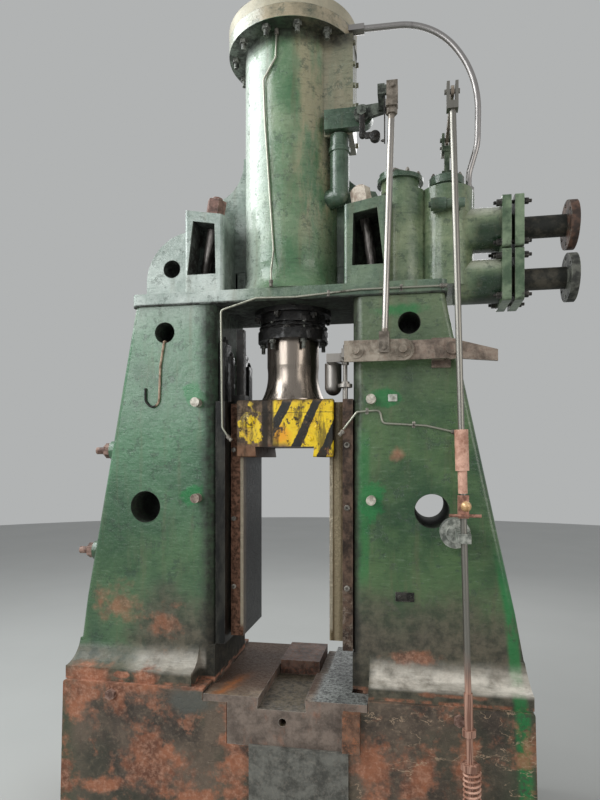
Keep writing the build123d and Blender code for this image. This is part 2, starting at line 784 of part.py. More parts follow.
def top_casting():
    """Plate on the columns with four lug boxes and the curved web on its left."""
    body = box(-PLATE_HALF, PLATE_HALF, -PLATE_FRONT, PLATE_FRONT, PLATE_BOTTOM, PLATE_TOP)
    body = fillet(body.edges().filter_by(Axis.Z), 30)
    front_right = lug_box()
    back_right = mirror(front_right, Plane.XZ)
    for lug in (front_right, back_right, mirror_x(front_right), mirror_x(back_right)):
        body += lug
    body += saddle() + mirror_x(saddle())
    web = [
        (-LUG_IN - 60, PLATE_TOP - 5),
        (-LUG_IN - 60, WEB_TOP),
        (-WEB_OUT, WEB_TOP),
        (-WEB_OUT, PLATE_TOP - 5),
    ]
    fin = front_outline(web, WEB_HALF_DEPTH)
    corner = fin.edges().filter_by(Axis.Y).sort_by(Axis.X)[:2].sort_by(Axis.Z)[-1]
    fin = fillet(corner, WEB_CORNER_R)
    body += fin
    x, z, r = WEB_HOLE
    body -= bar((-x, -WEB_HALF_DEPTH - 5, z), (-x, WEB_HALF_DEPTH + 5, z), r)
    body -= bar((0, 0, PLATE_BOTTOM - 10), (0, 0, PLATE_TOP + 10), ROD_R + ROD_BORE_GAP + 5)
    hole_r = TIE_R + TIE_HOLE_GAP
    right = bar(tie_point(PLATE_BOTTOM - 40), tie_point(LUG_TOP + 120), hole_r)
    for sleeve in (right, mirror(right, Plane.XZ)):
        body -= sleeve
        body -= mirror_x(sleeve)
    return body


def tie_bolt():
    """Right front tie bolt with its washer and tall nut, leaning like the column."""
    up = Vector(-TIE_SLOPE, 0, 1).normalized()
    seat = Vector(*tie_point(tie_seat_z())) + up * SEAT_GAP
    foot = tie_point(PLATE_BOTTOM + SEAT_GAP + TIE_R * TIE_SLOPE)
    washer_top = seat + up * TIE_WASHER_THICK
    nut_top = washer_top + up * TIE_NUT_HEIGHT
    tip = nut_top + up * TIE_TAIL
    bolt = bar(foot, tuple(tip), TIE_R)
    bolt += bar(tuple(seat), tuple(washer_top), TIE_WASHER_R)
    return bolt + hexagon(tuple(washer_top), tuple(nut_top), TIE_NUT_R)


def cylinder():
    """Steam cylinder with a flared foot and a flange for its cover."""
    foot = PLATE_TOP + SEAT_GAP
    floor = foot + 40
    rod_r = ROD_R + ROD_BORE_GAP + 5
    flare_top = (CYLINDER_R, foot + CYLINDER_FLARE_HEIGHT)
    flare_foot = (CYLINDER_FLARE_R, foot)
    wall = Polyline(
        flare_foot,
        (rod_r, foot),
        (rod_r, floor),
        (CYLINDER_BORE_R, floor),
        (CYLINDER_BORE_R, FLANGE_TOP),
        (FLANGE_R, FLANGE_TOP),
        (FLANGE_R, FLANGE_BOTTOM),
        (CYLINDER_R, FLANGE_BOTTOM),
        flare_top,
    )
    body = revolve(Plane.XZ * drawn_face(wall, hollow_arc(flare_top, flare_foot)), Axis.Z)
    for x, y in around(COVER_STUDS, COVER_STUD_PCD_R, COVER_STUD_FIRST_DEG):
        body -= bar((x, y, FLANGE_BOTTOM - 5), (x, y, FLANGE_TOP + 5), COVER_STUD_R + 1)
    return body


def cylinder_cover():
    """Flanged cover with a domed top."""
    low = FLANGE_TOP + SEAT_GAP
    outline = [
        (0, low),
        (FLANGE_R, low),
        (FLANGE_R, COVER_TOP),
        (DOME_FOOT_R, COVER_TOP + 6),
        (DOME_FOOT_R - 18, COVER_TOP + DOME_HEIGHT * 0.45),
        (DOME_TOP_R, COVER_TOP + DOME_HEIGHT),
        (0, COVER_TOP + DOME_HEIGHT),
    ]
    body = turned(outline)
    for x, y in around(COVER_STUDS, COVER_STUD_PCD_R, COVER_STUD_FIRST_DEG):
        body -= bar((x, y, low - 5), (x, y, COVER_TOP + 30), COVER_STUD_R + 1)
    return body


def cover_studs():
    """Studs with a nut above the cover and a nut below the cylinder flange."""
    out = []
    for x, y in around(COVER_STUDS, COVER_STUD_PCD_R, COVER_STUD_FIRST_DEG):
        low = FLANGE_BOTTOM - SEAT_GAP
        high = COVER_TOP + 7
        tall = COVER_STUD_R * NUT_HEIGHT_RATIO
        over_port = x > CYLINDER_R and PORT_FRONT < y < PORT_BACK
        foot = FLANGE_BOTTOM + 1 if over_port else low - tall - COVER_STUD_TAIL
        stud = bar((x, y, foot), (x, y, high + tall + 10), COVER_STUD_R)
        if not over_port:
            stud += nut((x, y, low), (0, 0, -1), COVER_STUD_R)
        out.append(stud + nut((x, y, high), (0, 0, 1), COVER_STUD_R))
    return out


def gland_neck():
    """Stuffing box that hangs under the plate."""
    top = PLATE_BOTTOM - SEAT_GAP
    body = ring(NECK_R, ROD_R + ROD_BORE_GAP, top - NECK_DROP, top)
    return body + ring(GLAND_R + 14, ROD_R + ROD_BORE_GAP, top - 22, top)


def gland_flange():
    """Follower ring that squeezes the packing."""
    top = PLATE_BOTTOM - GLAND_DROP
    body = ring(GLAND_R, ROD_R + ROD_BORE_GAP, top - GLAND_THICK, top)
    body += ring(ROD_R + 10, ROD_R + ROD_BORE_GAP, top, PLATE_BOTTOM - NECK_DROP - 2 * SEAT_GAP)
    for x, y in around(GLAND_STUD_COUNT, GLAND_STUD_PCD_R, 30.0):
        body -= bar((x, y, top - GLAND_THICK - 5), (x, y, top + 5), GLAND_STUD_R + 1)
    return body


def gland_studs():
    """Studs that draw the gland up, with a nut on each."""
    out = []
    top = PLATE_BOTTOM - NECK_DROP - SEAT_GAP
    low = PLATE_BOTTOM - GLAND_DROP - GLAND_THICK - SEAT_GAP
    for x, y in around(GLAND_STUD_COUNT, GLAND_STUD_PCD_R, 30.0):
        stud = bar((x, y, low - GLAND_STUD_TAIL), (x, y, top - SEAT_GAP), GLAND_STUD_R)
        out.append(stud + nut((x, y, low), (0, 0, -1), GLAND_STUD_R))
    return out


def steam_port():
    """Rectangular steam passage on the right of the cylinder, rounded to its wall."""
    body = box(CYLINDER_R / 2, PORT_OUT, PORT_FRONT, PORT_BACK, PORT_BOTTOM, PORT_TOP)
    body -= bar((0, 0, PORT_BOTTOM - 10), (0, 0, PORT_TOP + 10), CYLINDER_R + SEAT_GAP)
    rows = 5
    edge = 35
    for i in range(rows):
        z = PORT_BOTTOM + edge + i * (PORT_TOP - PORT_BOTTOM - 2 * edge) / (rows - 1)
        for y in (PORT_FRONT + 14, PORT_BACK - 14):
            body += nut((PORT_OUT - 1, y, z), (1, 0, 0), 7.0)
    return body


def downpipe():
    """Round pipe from the steam passage down to its elbow on the cylinder."""
    x, y = DOWNPIPE_X, DOWNPIPE_Y
    low = DOWNPIPE_LOW
    body = bar((x, y, low), (x, y, PORT_BOTTOM - SEAT_GAP), DOWNPIPE_R)
    body += bar((x, y, DOWNPIPE_RING_Z - 9), (x, y, DOWNPIPE_RING_Z + 9), DOWNPIPE_R + 5)
    body += Pos(x, y, low) * Sphere(DOWNPIPE_R)
    body += bar((x, y, low), (x * 0.5, y * 0.5, low), DOWNPIPE_R)
    return body - bar((0, 0, low - 100), (0, 0, PORT_TOP), CYLINDER_R + SEAT_GAP)


def rocker_bracket():
    """Arm cast on the cylinder's side that carries the rocker."""
    x, z = ROCKER_PIVOT
    back = ROCKER_FACE_Y
    face = PORT_FRONT - SEAT_GAP
    half = BRACKET_ARM_TALL / 2
    body = box(BRACKET_ARM_ROOT_X, x - 10, back, face, z - half, z + half)
    body += bar((x, back, z), (x, face, z), BRACKET_ARM_BOSS_R)
    body -= bar((0, 0, z - 60), (0, 0, z + 60), CYLINDER_R + SEAT_GAP)
    return body - bar((x, back - 5, z), (x, -40, z), ROCKER_SHAFT_R + PIN_GAP)


def valve_chest():
    """Valve chest on the right of the top casting with two nozzles."""
    low = PLATE_TOP + SEAT_GAP
    body = box(CHEST_LEFT, CHEST_RIGHT, CHEST_WALL_FRONT, CHEST_HALF_DEPTH, low, CHEST_TOP - 40)
    body = fillet(body.edges().filter_by(Axis.Z), CHEST_EDGE)
    body += bar((CAP_X, CAP_Y, low), (CAP_X, CAP_Y, CHEST_TOP), VALVE_BODY_R)
    x = THROTTLE_TOP[0]
    body += bar((x, SMALL_CAP_Y, low), (x, SMALL_CAP_Y, CHEST_TOP), VALVE_BODY_R)
    body += bar((CAP_X, CAP_Y, CHEST_TOP - 20), (CAP_X, CAP_Y, CHEST_TOP + CAP_BODY_HEIGHT), CAP_BODY_R)
    for z in (UPPER_NOZZLE_Z, LOWER_NOZZLE_Z):
        body += bar((CHEST_RIGHT - 80, NOZZLE_Y, z), (NOZZLE_END, NOZZLE_Y, z), NOZZLE_R)
    x, y = BALANCE_END_X, BALANCE_END_Y
    body += bar((x, y, UPPER_NOZZLE_Z), (x, y, CHEST_TOP), BALANCE_FITTING_R)
    x = THROTTLE_TOP[0]
    body -= bar((x, SPINDLE_Y, CHEST_TOP - 30), (x, SPINDLE_Y, CHEST_TOP + 5), SPINDLE_R + PIN_GAP)
    trim = CHEST_LEFT - 100
    return body - box(trim, CHEST_LEFT, -CHEST_HALF_DEPTH, CHEST_HALF_DEPTH, low - 10, CHEST_TOP)


def chest_cap():
    """Round cap on the main valve."""
    low = CHEST_TOP + CAP_BODY_HEIGHT + SEAT_GAP
    top = low + CAP_THICK
    lid_x = CAP_X - CAP_LID_SHIFT
    lid = bar((lid_x, CAP_Y, top - 2), (lid_x, CAP_Y, top + CAP_LID_THICK), CAP_LID_R)
    return bar((CAP_X, CAP_Y, low), (CAP_X, CAP_Y, top), CAP_R) + lid


def chest_small_cap():
    """Small cap and spindle guide for the throttle valve."""
    low = CHEST_TOP + SEAT_GAP
    top = low + SMALL_CAP_HEIGHT
    x, y = THROTTLE_TOP[0], SMALL_CAP_Y
    body = bar((x, y, low), (x, y, top - 14), SMALL_CAP_R - 12)
    body += bar((x, y, top - 34), (x, y, top), SMALL_CAP_R)
    return body - bar((x, SPINDLE_Y, low - 5), (x, SPINDLE_Y, top + 5), SPINDLE_R + PIN_GAP)


def throttle_spindle():
    """Spindle of the throttle valve, from the rocker down into its cap."""
    x, y = THROTTLE_TOP[0], SPINDLE_Y
    top = POST_TOP - POST_PIN_DROP
    body = bar((x, y, CHEST_TOP - SPINDLE_LOW), (x, y, top - 34), SPINDLE_R)
    near, far = y - SPINDLE_FORK_HALF, y + SPINDLE_FORK_HALF
    fork_z = top - SPINDLE_FORK_DROP
    body += box(x - BLADE_CHEEK, x + BLADE_CHEEK, near, far, fork_z, fork_z + SPINDLE_FORK_THICK)
    for side in (-1, 1):
        x0, x1 = sorted((x + side * BLADE_SLOT, x + side * BLADE_CHEEK))
        body += box(x0, x1, near, far, fork_z, top + SPINDLE_FORK_RISE)
    reach = BLADE_CHEEK + SPINDLE_PIN_OUT
    return body + bar((x - reach, y, top), (x + reach, y, top), SPINDLE_PIN_R)


def square_flange(x, z):
    """Flange plate across a nozzle, drilled for four bolts."""
    half = FLANGE_SQUARE / 2
    plate = box(x, x + FLANGE_PLATE, NOZZLE_Y - half, NOZZLE_Y + half, z - half, z + half)
    return fillet(plate.edges().filter_by(Axis.X), 12)


def nozzle_line(z):
    """One steam line: flange pair, short pipe and round end flange with its bore."""
    first = square_flange(NOZZLE_END + SEAT_GAP, z)
    second_x = NOZZLE_END + SEAT_GAP + FLANGE_PLATE + FLANGE_JOINT
    second = square_flange(second_x, z)
    gasket = bar(
        (NOZZLE_END + SEAT_GAP + FLANGE_PLATE, NOZZLE_Y, z), (second_x, NOZZLE_Y, z), PIPE_R + 15
    )
    pipe = bar((second_x, NOZZLE_Y, z), (PIPE_END, NOZZLE_Y, z), PIPE_R)
    end = bar((PIPE_END - PIPE_FLANGE_THICK, NOZZLE_Y, z), (PIPE_END, NOZZLE_Y, z), PIPE_FLANGE_R)
    line = first + gasket + second + pipe + end
    line -= bar((NOZZLE_END - 5, NOZZLE_Y, z), (PIPE_END + 5, NOZZLE_Y, z), NOZZLE_BORE_R)
    for i in range(PIPE_BOLT_COUNT):
        angle = math.radians(360.0 * i / PIPE_BOLT_COUNT)
        y = NOZZLE_Y + PIPE_BOLT_PCD / 2 * math.sin(angle)
        dz = z + PIPE_BOLT_PCD / 2 * math.cos(angle)
        line -= bar((PIPE_END - PIPE_FLANGE_THICK - 5, y, dz), (PIPE_END + 5, y, dz), PIPE_BOLT_HOLE_R)
    return line


def balance_pipe():
    """Steel pipe that bows from the cover over to the chest."""
    high = FLANGE_TOP - BALANCE_DROP
    low = CHEST_TOP + BALANCE_FITTING_HEIGHT
    points = [
        (BALANCE_START_X, BALANCE_Y, high),
        (640, BALANCE_Y, high - 8),
        (822, BALANCE_Y + 14, high - 258),
        (820, BALANCE_Y + 32, low + 170),
        (BALANCE_END_X, BALANCE_END_Y, low + 60),
        (BALANCE_END_X, BALANCE_END_Y, low),
    ]
    path = FilletPolyline(*points, radius=[320, 430, 180, 120])
    section = Plane(origin=path @ 0, z_dir=path % 0) * Circle(BALANCE_R)
    return sweep(section, path)


def balance_fittings():
    """Unions at both ends of the balance pipe."""
    high = FLANGE_TOP - BALANCE_DROP
    low = CHEST_TOP + SEAT_GAP
    rim = math.sqrt(FLANGE_R**2 - BALANCE_Y**2)
    start, end = (rim - 20, BALANCE_Y, high), (BALANCE_START_X - SEAT_GAP, BALANCE_Y, high)
    upper = hexagon(start, end, BALANCE_FITTING_R)
    upper -= bar((0, 0, FLANGE_BOTTOM), (0, 0, COVER_TOP), FLANGE_R + SEAT_GAP)
    foot = (BALANCE_END_X, BALANCE_END_Y, low)
    top = (BALANCE_END_X, BALANCE_END_Y, CHEST_TOP + BALANCE_FITTING_HEIGHT - SEAT_GAP)
    return [upper, hexagon(foot, top, BALANCE_FITTING_R - 2)]


def lever_bracket():
    """Bracket on the right column that carries the valve lever."""
    z = LEVER_Z
    x = LEVER_PIVOT_X
    head = LEVER_Y - LEVER_THICK / 2
    far = head - PIVOT_HEAD_OUT
    face = -COLUMN_HALF - SEAT_GAP
    pad = face - BRACKET_PAD
    near = LEVER_Y + LEVER_THICK / 2 + BRACKET_ARM_GAP
    left = x - BRACKET_REACH
    right = edge_x(z, COLUMN_RIGHT_KNEE_X) - BRACKET_EDGE
    base = box(left, right, pad, face, z - BRACKET_HALF, z + BRACKET_HALF)
    arm = box(left, x - BRACKET_ARM_IN, near, pad, z - BRACKET_ARM_HALF, z + BRACKET_ARM_HALF)
    arm += bar((x, near, z), (x, pad, z), LEVER_BOSS_R)
    arm += box(x - BRACKET_WEB_IN, x, near, pad, z - BRACKET_WEB_HALF, z + BRACKET_WEB_HALF)
    pin = bar((x, far, z), (x, pad, z), LEVER_PIN_R)
    return base + arm + pin + bar((x, far, z), (x, head - PIVOT_HEAD_GAP, z), PIVOT_HEAD_R)


def rod_pin_hole():
    """Hole through the lever and its link for the valve rod's pin."""
    x, z = VALVE_ROD_FOOT[0], lever_pin_z()
    return bar((x, LEVER_Y - 60, z), (x, LEVER_Y + 60, z), VALVE_PIN_R + PIN_GAP)


def valve_lever():
    """Flat lever across the front of the right column."""
    half = LEVER_HEIGHT / 2
    y0, y1 = LEVER_Y - LEVER_THICK / 2, LEVER_Y + LEVER_THICK / 2
    outline = [
        (LEVER_LEFT + LEVER_LAP, LEVER_Z - half + 2),
        (LEVER_PIVOT_X, LEVER_Z - half + 6),
        (LEVER_RIGHT, LEVER_Z - LEVER_TIP_LOW),
        (LEVER_RIGHT, LEVER_Z - LEVER_TIP_HIGH),
        (LEVER_PIVOT_X, LEVER_Z + half - 2),
        (LEVER_LEFT + LEVER_LAP, LEVER_Z + half - 8),
    ]
    body = Pos(0, LEVER_Y, 0) * front_outline(outline, LEVER_THICK / 2)
    body += bar((LEVER_PIVOT_X, y0 - 3, LEVER_Z), (LEVER_PIVOT_X, y1 + 3, LEVER_Z), LEVER_BOSS_R + 10)
    body -= bar((LEVER_PIVOT_X, y0 - 20, LEVER_Z), (LEVER_PIVOT_X, y1 + 20, LEVER_Z), LEVER_PIN_R + PIN_GAP)
    return body - rod_pin_hole()


def lever_link():
    """Rusty link plate bolted to the lever, with two round bosses."""
    y1 = LEVER_Y - LEVER_THICK / 2 - SEAT_GAP
    y0 = y1 - LINK_THICK
    half = LEVER_HEIGHT / 2
    body = box(LEVER_LEFT, LINK_RIGHT, y0, y1, LEVER_Z - half, LEVER_Z + half)
    ends = [edge for edge in body.edges().filter_by(Axis.Y) if edge.center().X > LINK_RIGHT - 5]
    body = fillet(ends, half - 2)
    for x in (LEVER_LEFT + LINK_LEFT_BOSS_IN, LINK_RIGHT - LINK_RIGHT_BOSS_IN):
        body += bar((x, y0 - LINK_BOSS_OUT, LEVER_Z), (x, y0, LEVER_Z), LEVER_BOSS_R)
        body += bar((x, y0 - LINK_PIN_OUT, LEVER_Z), (x, y0 - 4, LEVER_Z), LEVER_PIN_R)
    return body - rod_pin_hole()


def lever_shoe():
    """Shoe above the ram on a cranked arm, with the adjuster that rests on the stop."""
    y1 = LEVER_Y + LEVER_THICK / 2 + SEAT_GAP
    z0, z1 = LEVER_Z - SHOE_ARM_HALF, LEVER_Z + SHOE_ARM_HALF
    inner = COLUMN_INNER - SHOE_ARM_CLEAR
    y2 = y1 + SHOE_ARM_THICK
    y3 = STOP_Y + SHOE_ARM_THICK
    stem = SHOE_X - SHOE_STEM_HALF
    body = box(SHOE_PAD_LEFT, SHOE_PAD_RIGHT, y1, y2, LEVER_Z - SHOE_PAD_HALF, LEVER_Z + SHOE_PAD_HALF)
    body += box(inner - SHOE_ARM_WIDE, SHOE_PAD_LEFT, y1, y2, z0, z1)
    body += box(inner - SHOE_ARM_WIDE, inner, y1, y3, z0, z1)
    body += box(stem, inner, STOP_Y, y3, z0, z1)
    body += bar((STOP_X, STOP_Y, z0), (STOP_X, STOP_Y, z1), ADJUSTER_BOSS_R)
    body += box(stem, SHOE_X + SHOE_STEM_HALF, STOP_Y, SHOE_Y, z0, LEVER_Z + SHOE_STEM_RISE)
    body += bar((SHOE_X, SHOE_Y, SHOE_BOTTOM + SHOE_HALF), (SHOE_X, SHOE_Y, SHOE_TOP), SHOE_HALF)
    body += Pos(SHOE_X, SHOE_Y, SHOE_BOTTOM + SHOE_HALF) * Sphere(SHOE_HALF)
    body += bar((STOP_X, STOP_Y, STOP_TOP + SEAT_GAP), (STOP_X, STOP_Y, LEVER_Z + ADJUSTER_RISE), ADJUSTER_R)
    body += nut((STOP_X, STOP_Y, z1), (0, 0, 1), ADJUSTER_R)
    return body + nut((STOP_X, STOP_Y, z0), (0, 0, -1), ADJUSTER_R)


def lever_pin_z():
    """Height of the pin that joins the valve rod to the lever."""
    return LEVER_Z + VALVE_PIN_RISE


def valve_rod():
    """Bright rod from the valve lever up to the rocker, with a fork at each end."""
    top = VALVE_ROD_TOP
    pin_z = lever_pin_z()
    x = VALVE_ROD_FOOT[0]
    inside = LINK_THICK + LEVER_THICK / 2 + YOKE_SIDE_GAP
    outside = inside + YOKE_CHEEK
    yoke_z = LEVER_Z + LEVER_HEIGHT / 2 + YOKE_RISE
    yoke_top = yoke_z + YOKE_THICK
    middle_z = yoke_z + YOKE_THICK / 2
    foot_x = on_line(top, VALVE_ROD_FOOT, middle_z)
    neck_z = top[1] - FORK_NECK_DROP
    neck_top = neck_z + FORK_NECK
    neck_x = on_line(top, VALVE_ROD_FOOT, neck_z)
    body = bar((foot_x, LEVER_Y, middle_z), (neck_x, LEVER_Y, neck_z + 5), VALVE_ROD_R)
    body += box(x - YOKE_HALF, x + YOKE_HALF, LEVER_Y - outside, LEVER_Y + outside, yoke_z, yoke_top)
    nut_foot = (neck_x, LEVER_Y, neck_z - FORK_NECK)
    body += hexagon(nut_foot, (neck_x, LEVER_Y, neck_z), VALVE_ROD_R * NUT_RATIO)
    near, far = LEVER_Y - FORK_CHEEK, LEVER_Y + FORK_CHEEK
    body += box(neck_x - FORK_HALF, neck_x + FORK_HALF, near, far, neck_z, neck_top)
    for side in (-1, 1):
        y0, y1 = sorted((LEVER_Y + side * inside, LEVER_Y + side * outside))
        body += box(x - YOKE_HALF, x + YOKE_HALF, y0, y1, pin_z - YOKE_BELOW_PIN, yoke_top)
        y0, y1 = sorted((LEVER_Y + side * FORK_SLOT, LEVER_Y + side * FORK_CHEEK))
        body += box(top[0] - FORK_HALF, top[0] + FORK_HALF, y0, y1, neck_z + 10, top[1] + FORK_HALF)
    pin = outside + 6
    body += bar((x, LEVER_Y - pin, pin_z), (x, LEVER_Y + pin, pin_z), VALVE_PIN_R)
    pin = FORK_CHEEK + 6
    return body + bar((top[0], LEVER_Y - pin, top[1]), (top[0], LEVER_Y + pin, top[1]), VALVE_PIN_R)


def valve_rocker():
    """Rocker on the bracket: a hub, an arm and the lug in the valve rod's fork."""
    x, z = ROCKER_PIVOT
    y = ROCKER_FACE_Y - 2
    face = y - ROCKER_HUB_THICK
    half = ROCKER_LUG_HALF
    hub = bar((x, face, z), (x, y, z), ROCKER_HUB_R)
    hub += bar((x, y - ROCKER_SHAFT_OUT, z), (x, PORT_FRONT - 10, z), ROCKER_SHAFT_R)
    hub += nut((x, face, z), (0, -1, 0), ROCKER_SHAFT_R)
    pin_x, pin_z = VALVE_ROD_TOP
    root = [(x, z - ROCKER_ARM_HALF), (x, z + ROCKER_ARM_HALF)]
    tip = [(pin_x - 30, pin_z + 22), (pin_x - 30, pin_z - 18)]
    arm = Pos(0, y - 13, 0) * front_outline(root + tip, ROCKER_ARM_THICK / 2)
    reach = box(pin_x - 58, pin_x - 30, LEVER_Y - half, y - 2, pin_z - 18, pin_z + 22)
    lug = box(pin_x - 40, pin_x + 18, LEVER_Y - half, LEVER_Y + half, pin_z - 16, pin_z + 16)
    body = hub + arm + reach + lug
    return body - bar((pin_x, LEVER_Y - 30, pin_z), (pin_x, LEVER_Y + 30, pin_z), VALVE_PIN_R + FORK_GAP)


def throttle_post():
    """Square post on the throttle cap with a fork and pin for the rocker."""
    x = THROTTLE_TOP[0]
    low = CHEST_TOP + SMALL_CAP_HEIGHT + 2 * SEAT_GAP
    pin_z = POST_TOP - POST_PIN_DROP
    near, far = POST_Y - POST_FORK_HALF, POST_Y + POST_FORK_HALF
    fork_z = pin_z - POST_FORK_DROP
    foot = POST_FOOT_HALF
    body = box(x - foot, x + foot, POST_Y - foot, POST_Y + foot, low, low + POST_FOOT_THICK)
    body += box(x - POST_HALF, x + POST_HALF, POST_Y - POST_HALF, POST_Y + POST_HALF, low, fork_z + 2)
    body += box(x - BLADE_CHEEK, x + BLADE_CHEEK, near, far, fork_z, fork_z + POST_FORK_THICK)
    for side in (-1, 1):
        x0, x1 = sorted((x + side * BLADE_SLOT, x + side * BLADE_CHEEK))
        body += box(x0, x1, near, far, fork_z, POST_TOP)
    reach = BLADE_CHEEK + POST_PIN_OUT
    return body + bar((x - reach, POST_Y, pin_z), (x + reach, POST_Y, pin_z), THROTTLE_PIN_R)


def throttle_rocker():
    """Flat rocker from the throttle rod over the post's pin to the valve spindle."""
    x, pin_z = THROTTLE_TOP
    half = BLADE_THICK / 2
    front, back = THROTTLE_Y, SPINDLE_Y
    blade = box(x - half, x + half, front, back, pin_z - BLADE_HALF_HEIGHT, pin_z + BLADE_HALF_HEIGHT)
    blade += bar((x - half, front, pin_z), (x + half, front, pin_z), BLADE_FRONT_EYE_R)
    blade += bar((x - half, back, pin_z), (x + half, back, pin_z), BLADE_BACK_EYE_R)
    blade += bar((x - half, POST_Y, pin_z), (x + half, POST_Y, pin_z), BLADE_POST_EYE_R)
    for y, r in (
        (POST_Y, THROTTLE_PIN_R + PIN_GAP),
        (front, THROTTLE_PIN_R + FORK_GAP),
        (back, SPINDLE_PIN_R + FORK_GAP),
    ):
        blade -= bar((x - 60, y, pin_z), (x + 60, y, pin_z), r)
    return blade


def throttle_x(z):
    return on_line(THROTTLE_TOP, THROTTLE_FOOT, z)


def throttle_point(z):
    return (throttle_x(z), THROTTLE_Y, z)


def throttle_rod():
    """Long throttle rod with its head block, clevis, collars and spring nut."""
    low = SPRING_SEAT_Z - SPRING_ROD_BELOW
    x, z = THROTTLE_TOP
    near, far = THROTTLE_Y - CLEVIS_HALF, THROTTLE_Y + CLEVIS_HALF
    clevis_z = z - CLEVIS_DROP
    body = bar(throttle_point(low), throttle_point(clevis_z + 20), THROTTLE_R)
    body += box(x - BLADE_CHEEK, x + BLADE_CHEEK, near, far, clevis_z, clevis_z + CLEVIS_THICK)
    for side in (-1, 1):
        x0, x1 = sorted((x + side * BLADE_SLOT, x + side * BLADE_CHEEK))
        body += box(x0, x1, near, far, clevis_z, z + CLEVIS_RISE)
    pin_left, pin_right = x - BLADE_CHEEK - 8, x + BLADE_CHEEK + 6
    body += bar((pin_left, THROTTLE_Y, z), (pin_right, THROTTLE_Y, z), THROTTLE_PIN_R)
    collar_top, collar_foot = throttle_point(ROD_COLLAR_TOP_Z), throttle_point(ROD_COLLAR_FOOT_Z)
    body += bar(collar_top, collar_foot, THROTTLE_R + ROD_COLLAR_OVER)
    ring_top, ring_foot = throttle_point(ROD_RING_TOP_Z), throttle_point(ROD_RING_FOOT_Z)
    body += bar(ring_top, ring_foot, THROTTLE_R + ROD_RING_OVER)
    nut_low = throttle_point(SPRING_TOP_Z + SPRING_LEAN_GAP)
    nut_high = throttle_point(SPRING_TOP_Z + SPRING_LEAN_GAP + SPRING_NUT_HEIGHT)
    body += hexagon(nut_low, nut_high, SPRING_R)
    return body


def rod_sleeve():
    """Rusty turnbuckle sleeve on the throttle rod."""
    outer = bar(throttle_point(SLEEVE_FROM_Z), throttle_point(SLEEVE_TO_Z), SLEEVE_R)
    neck_foot = throttle_point(SLEEVE_FROM_Z - SLEEVE_NECK_LONG)
    outer += bar(neck_foot, throttle_point(SLEEVE_FROM_Z + 5), SLEEVE_R - SLEEVE_NECK_STEP)
    return outer - bar(throttle_point(SLEEVE_FROM_Z - 110), throttle_point(SLEEVE_TO_Z + 20), THROTTLE_R)


def rod_handle():
    """Clamp block on the throttle rod with a cross bar and a ball knob."""
    x = throttle_x(KNOB_Z)
    left, right = x - CLAMP_HALF_WIDE, x + CLAMP_HALF_WIDE
    near, far = THROTTLE_Y - CLAMP_HALF_DEEP, THROTTLE_Y + CLAMP_HALF_DEEP
    body = box(left, right, near, far, KNOB_Z - CLAMP_DROP, KNOB_Z + CLAMP_RISE)
    body -= bar(throttle_point(KNOB_Z - 70), throttle_point(KNOB_Z + 70), THROTTLE_R)
    bar_y, bar_z = THROTTLE_Y - CROSS_BAR_OUT, KNOB_Z - CROSS_BAR_DROP
    body += bar((x - CROSS_BAR_LEFT, bar_y, bar_z), (x + CROSS_BAR_RIGHT, bar_y, bar_z), CROSS_BAR_R)
    knob_x, knob_y = x + KNOB_SHIFT, THROTTLE_Y - KNOB_OUT
    body += bar((knob_x, near + 2, KNOB_Z), (knob_x, knob_y + 14, KNOB_Z), KNOB_NECK_R)
    return body + Pos(knob_x, knob_y, KNOB_Z) * Sphere(KNOB_R)


def throttle_hub():
    """Round hub on the right column with the eye that guides the throttle rod."""
    x = throttle_x(HUB_Z) - HUB_SHIFT
    face = -COLUMN_HALF - SEAT_GAP
    hub = bar((x, face - HUB_OUT, HUB_Z), (x, face, HUB_Z), HUB_R)
    out = face - HUB_OUT
    hub += bar((x, out - HUB_BOSS_OUT, HUB_Z), (x, out, HUB_Z), HUB_R * 0.6)
    eye = throttle_x(HUB_Z)
    low, high = HUB_Z - HUB_ARM_HALF, HUB_Z + HUB_ARM_HALF
    arm = box(eye - EYE_HALF, eye + EYE_HALF, THROTTLE_Y - EYE_HALF, out, low, high)
    body = hub + arm
    return body - bar(throttle_point(HUB_Z - 60), throttle_point(HUB_Z + 60), THROTTLE_R + FORK_GAP)


def return_spring():
    """Return spring of the throttle rod, as a plain sleeve that stands upright."""
    x = throttle_x(SPRING_SEAT_Z)
    low, high = SPRING_SEAT_Z + SEAT_GAP, SPRING_TOP_Z
    return ring(SPRING_R, SPRING_R - SPRING_WIRE, low, high, x, THROTTLE_Y)


def spring_bracket():
    """Bracket on the bed under the return spring."""
    x = throttle_x(SPRING_SEAT_Z)
    face = -BED_FRONT - SEAT_GAP
    left, right = x - SPRING_BRACKET_HALF, x + SPRING_BRACKET_HALF
    front = THROTTLE_Y - SPRING_BRACKET_HALF
    thick = SPRING_BRACKET_THICK
    body = box(left, right, front, face, SPRING_SEAT_Z - thick, SPRING_SEAT_Z)
    body += box(left, right, face - thick, face, SPRING_SEAT_Z - SPRING_BRACKET_DROP, SPRING_SEAT_Z)
    low, high = throttle_point(SPRING_SEAT_Z - 60), throttle_point(SPRING_SEAT_Z + 40)
    return body - bar(low, high, THROTTLE_R + FORK_GAP)


def buffer_post():
    """Black square bar on its block on top of the left guide."""
    x = -(GUIDE_FACE + GUIDE_BACK) / 2
    y = POST_BAR_Y
    low = GUIDE_TOP + SEAT_GAP
    top = low + POST_BLOCK_HEIGHT
    body = box(-GUIDE_BACK, -GUIDE_FACE - 2, y - POST_BLOCK_HALF, y + POST_BLOCK_HALF, low, top)
    half = POST_BAR_HALF
    return body + box(x - half, x + half, y - half, y + half, top, POST_BAR_TOP)


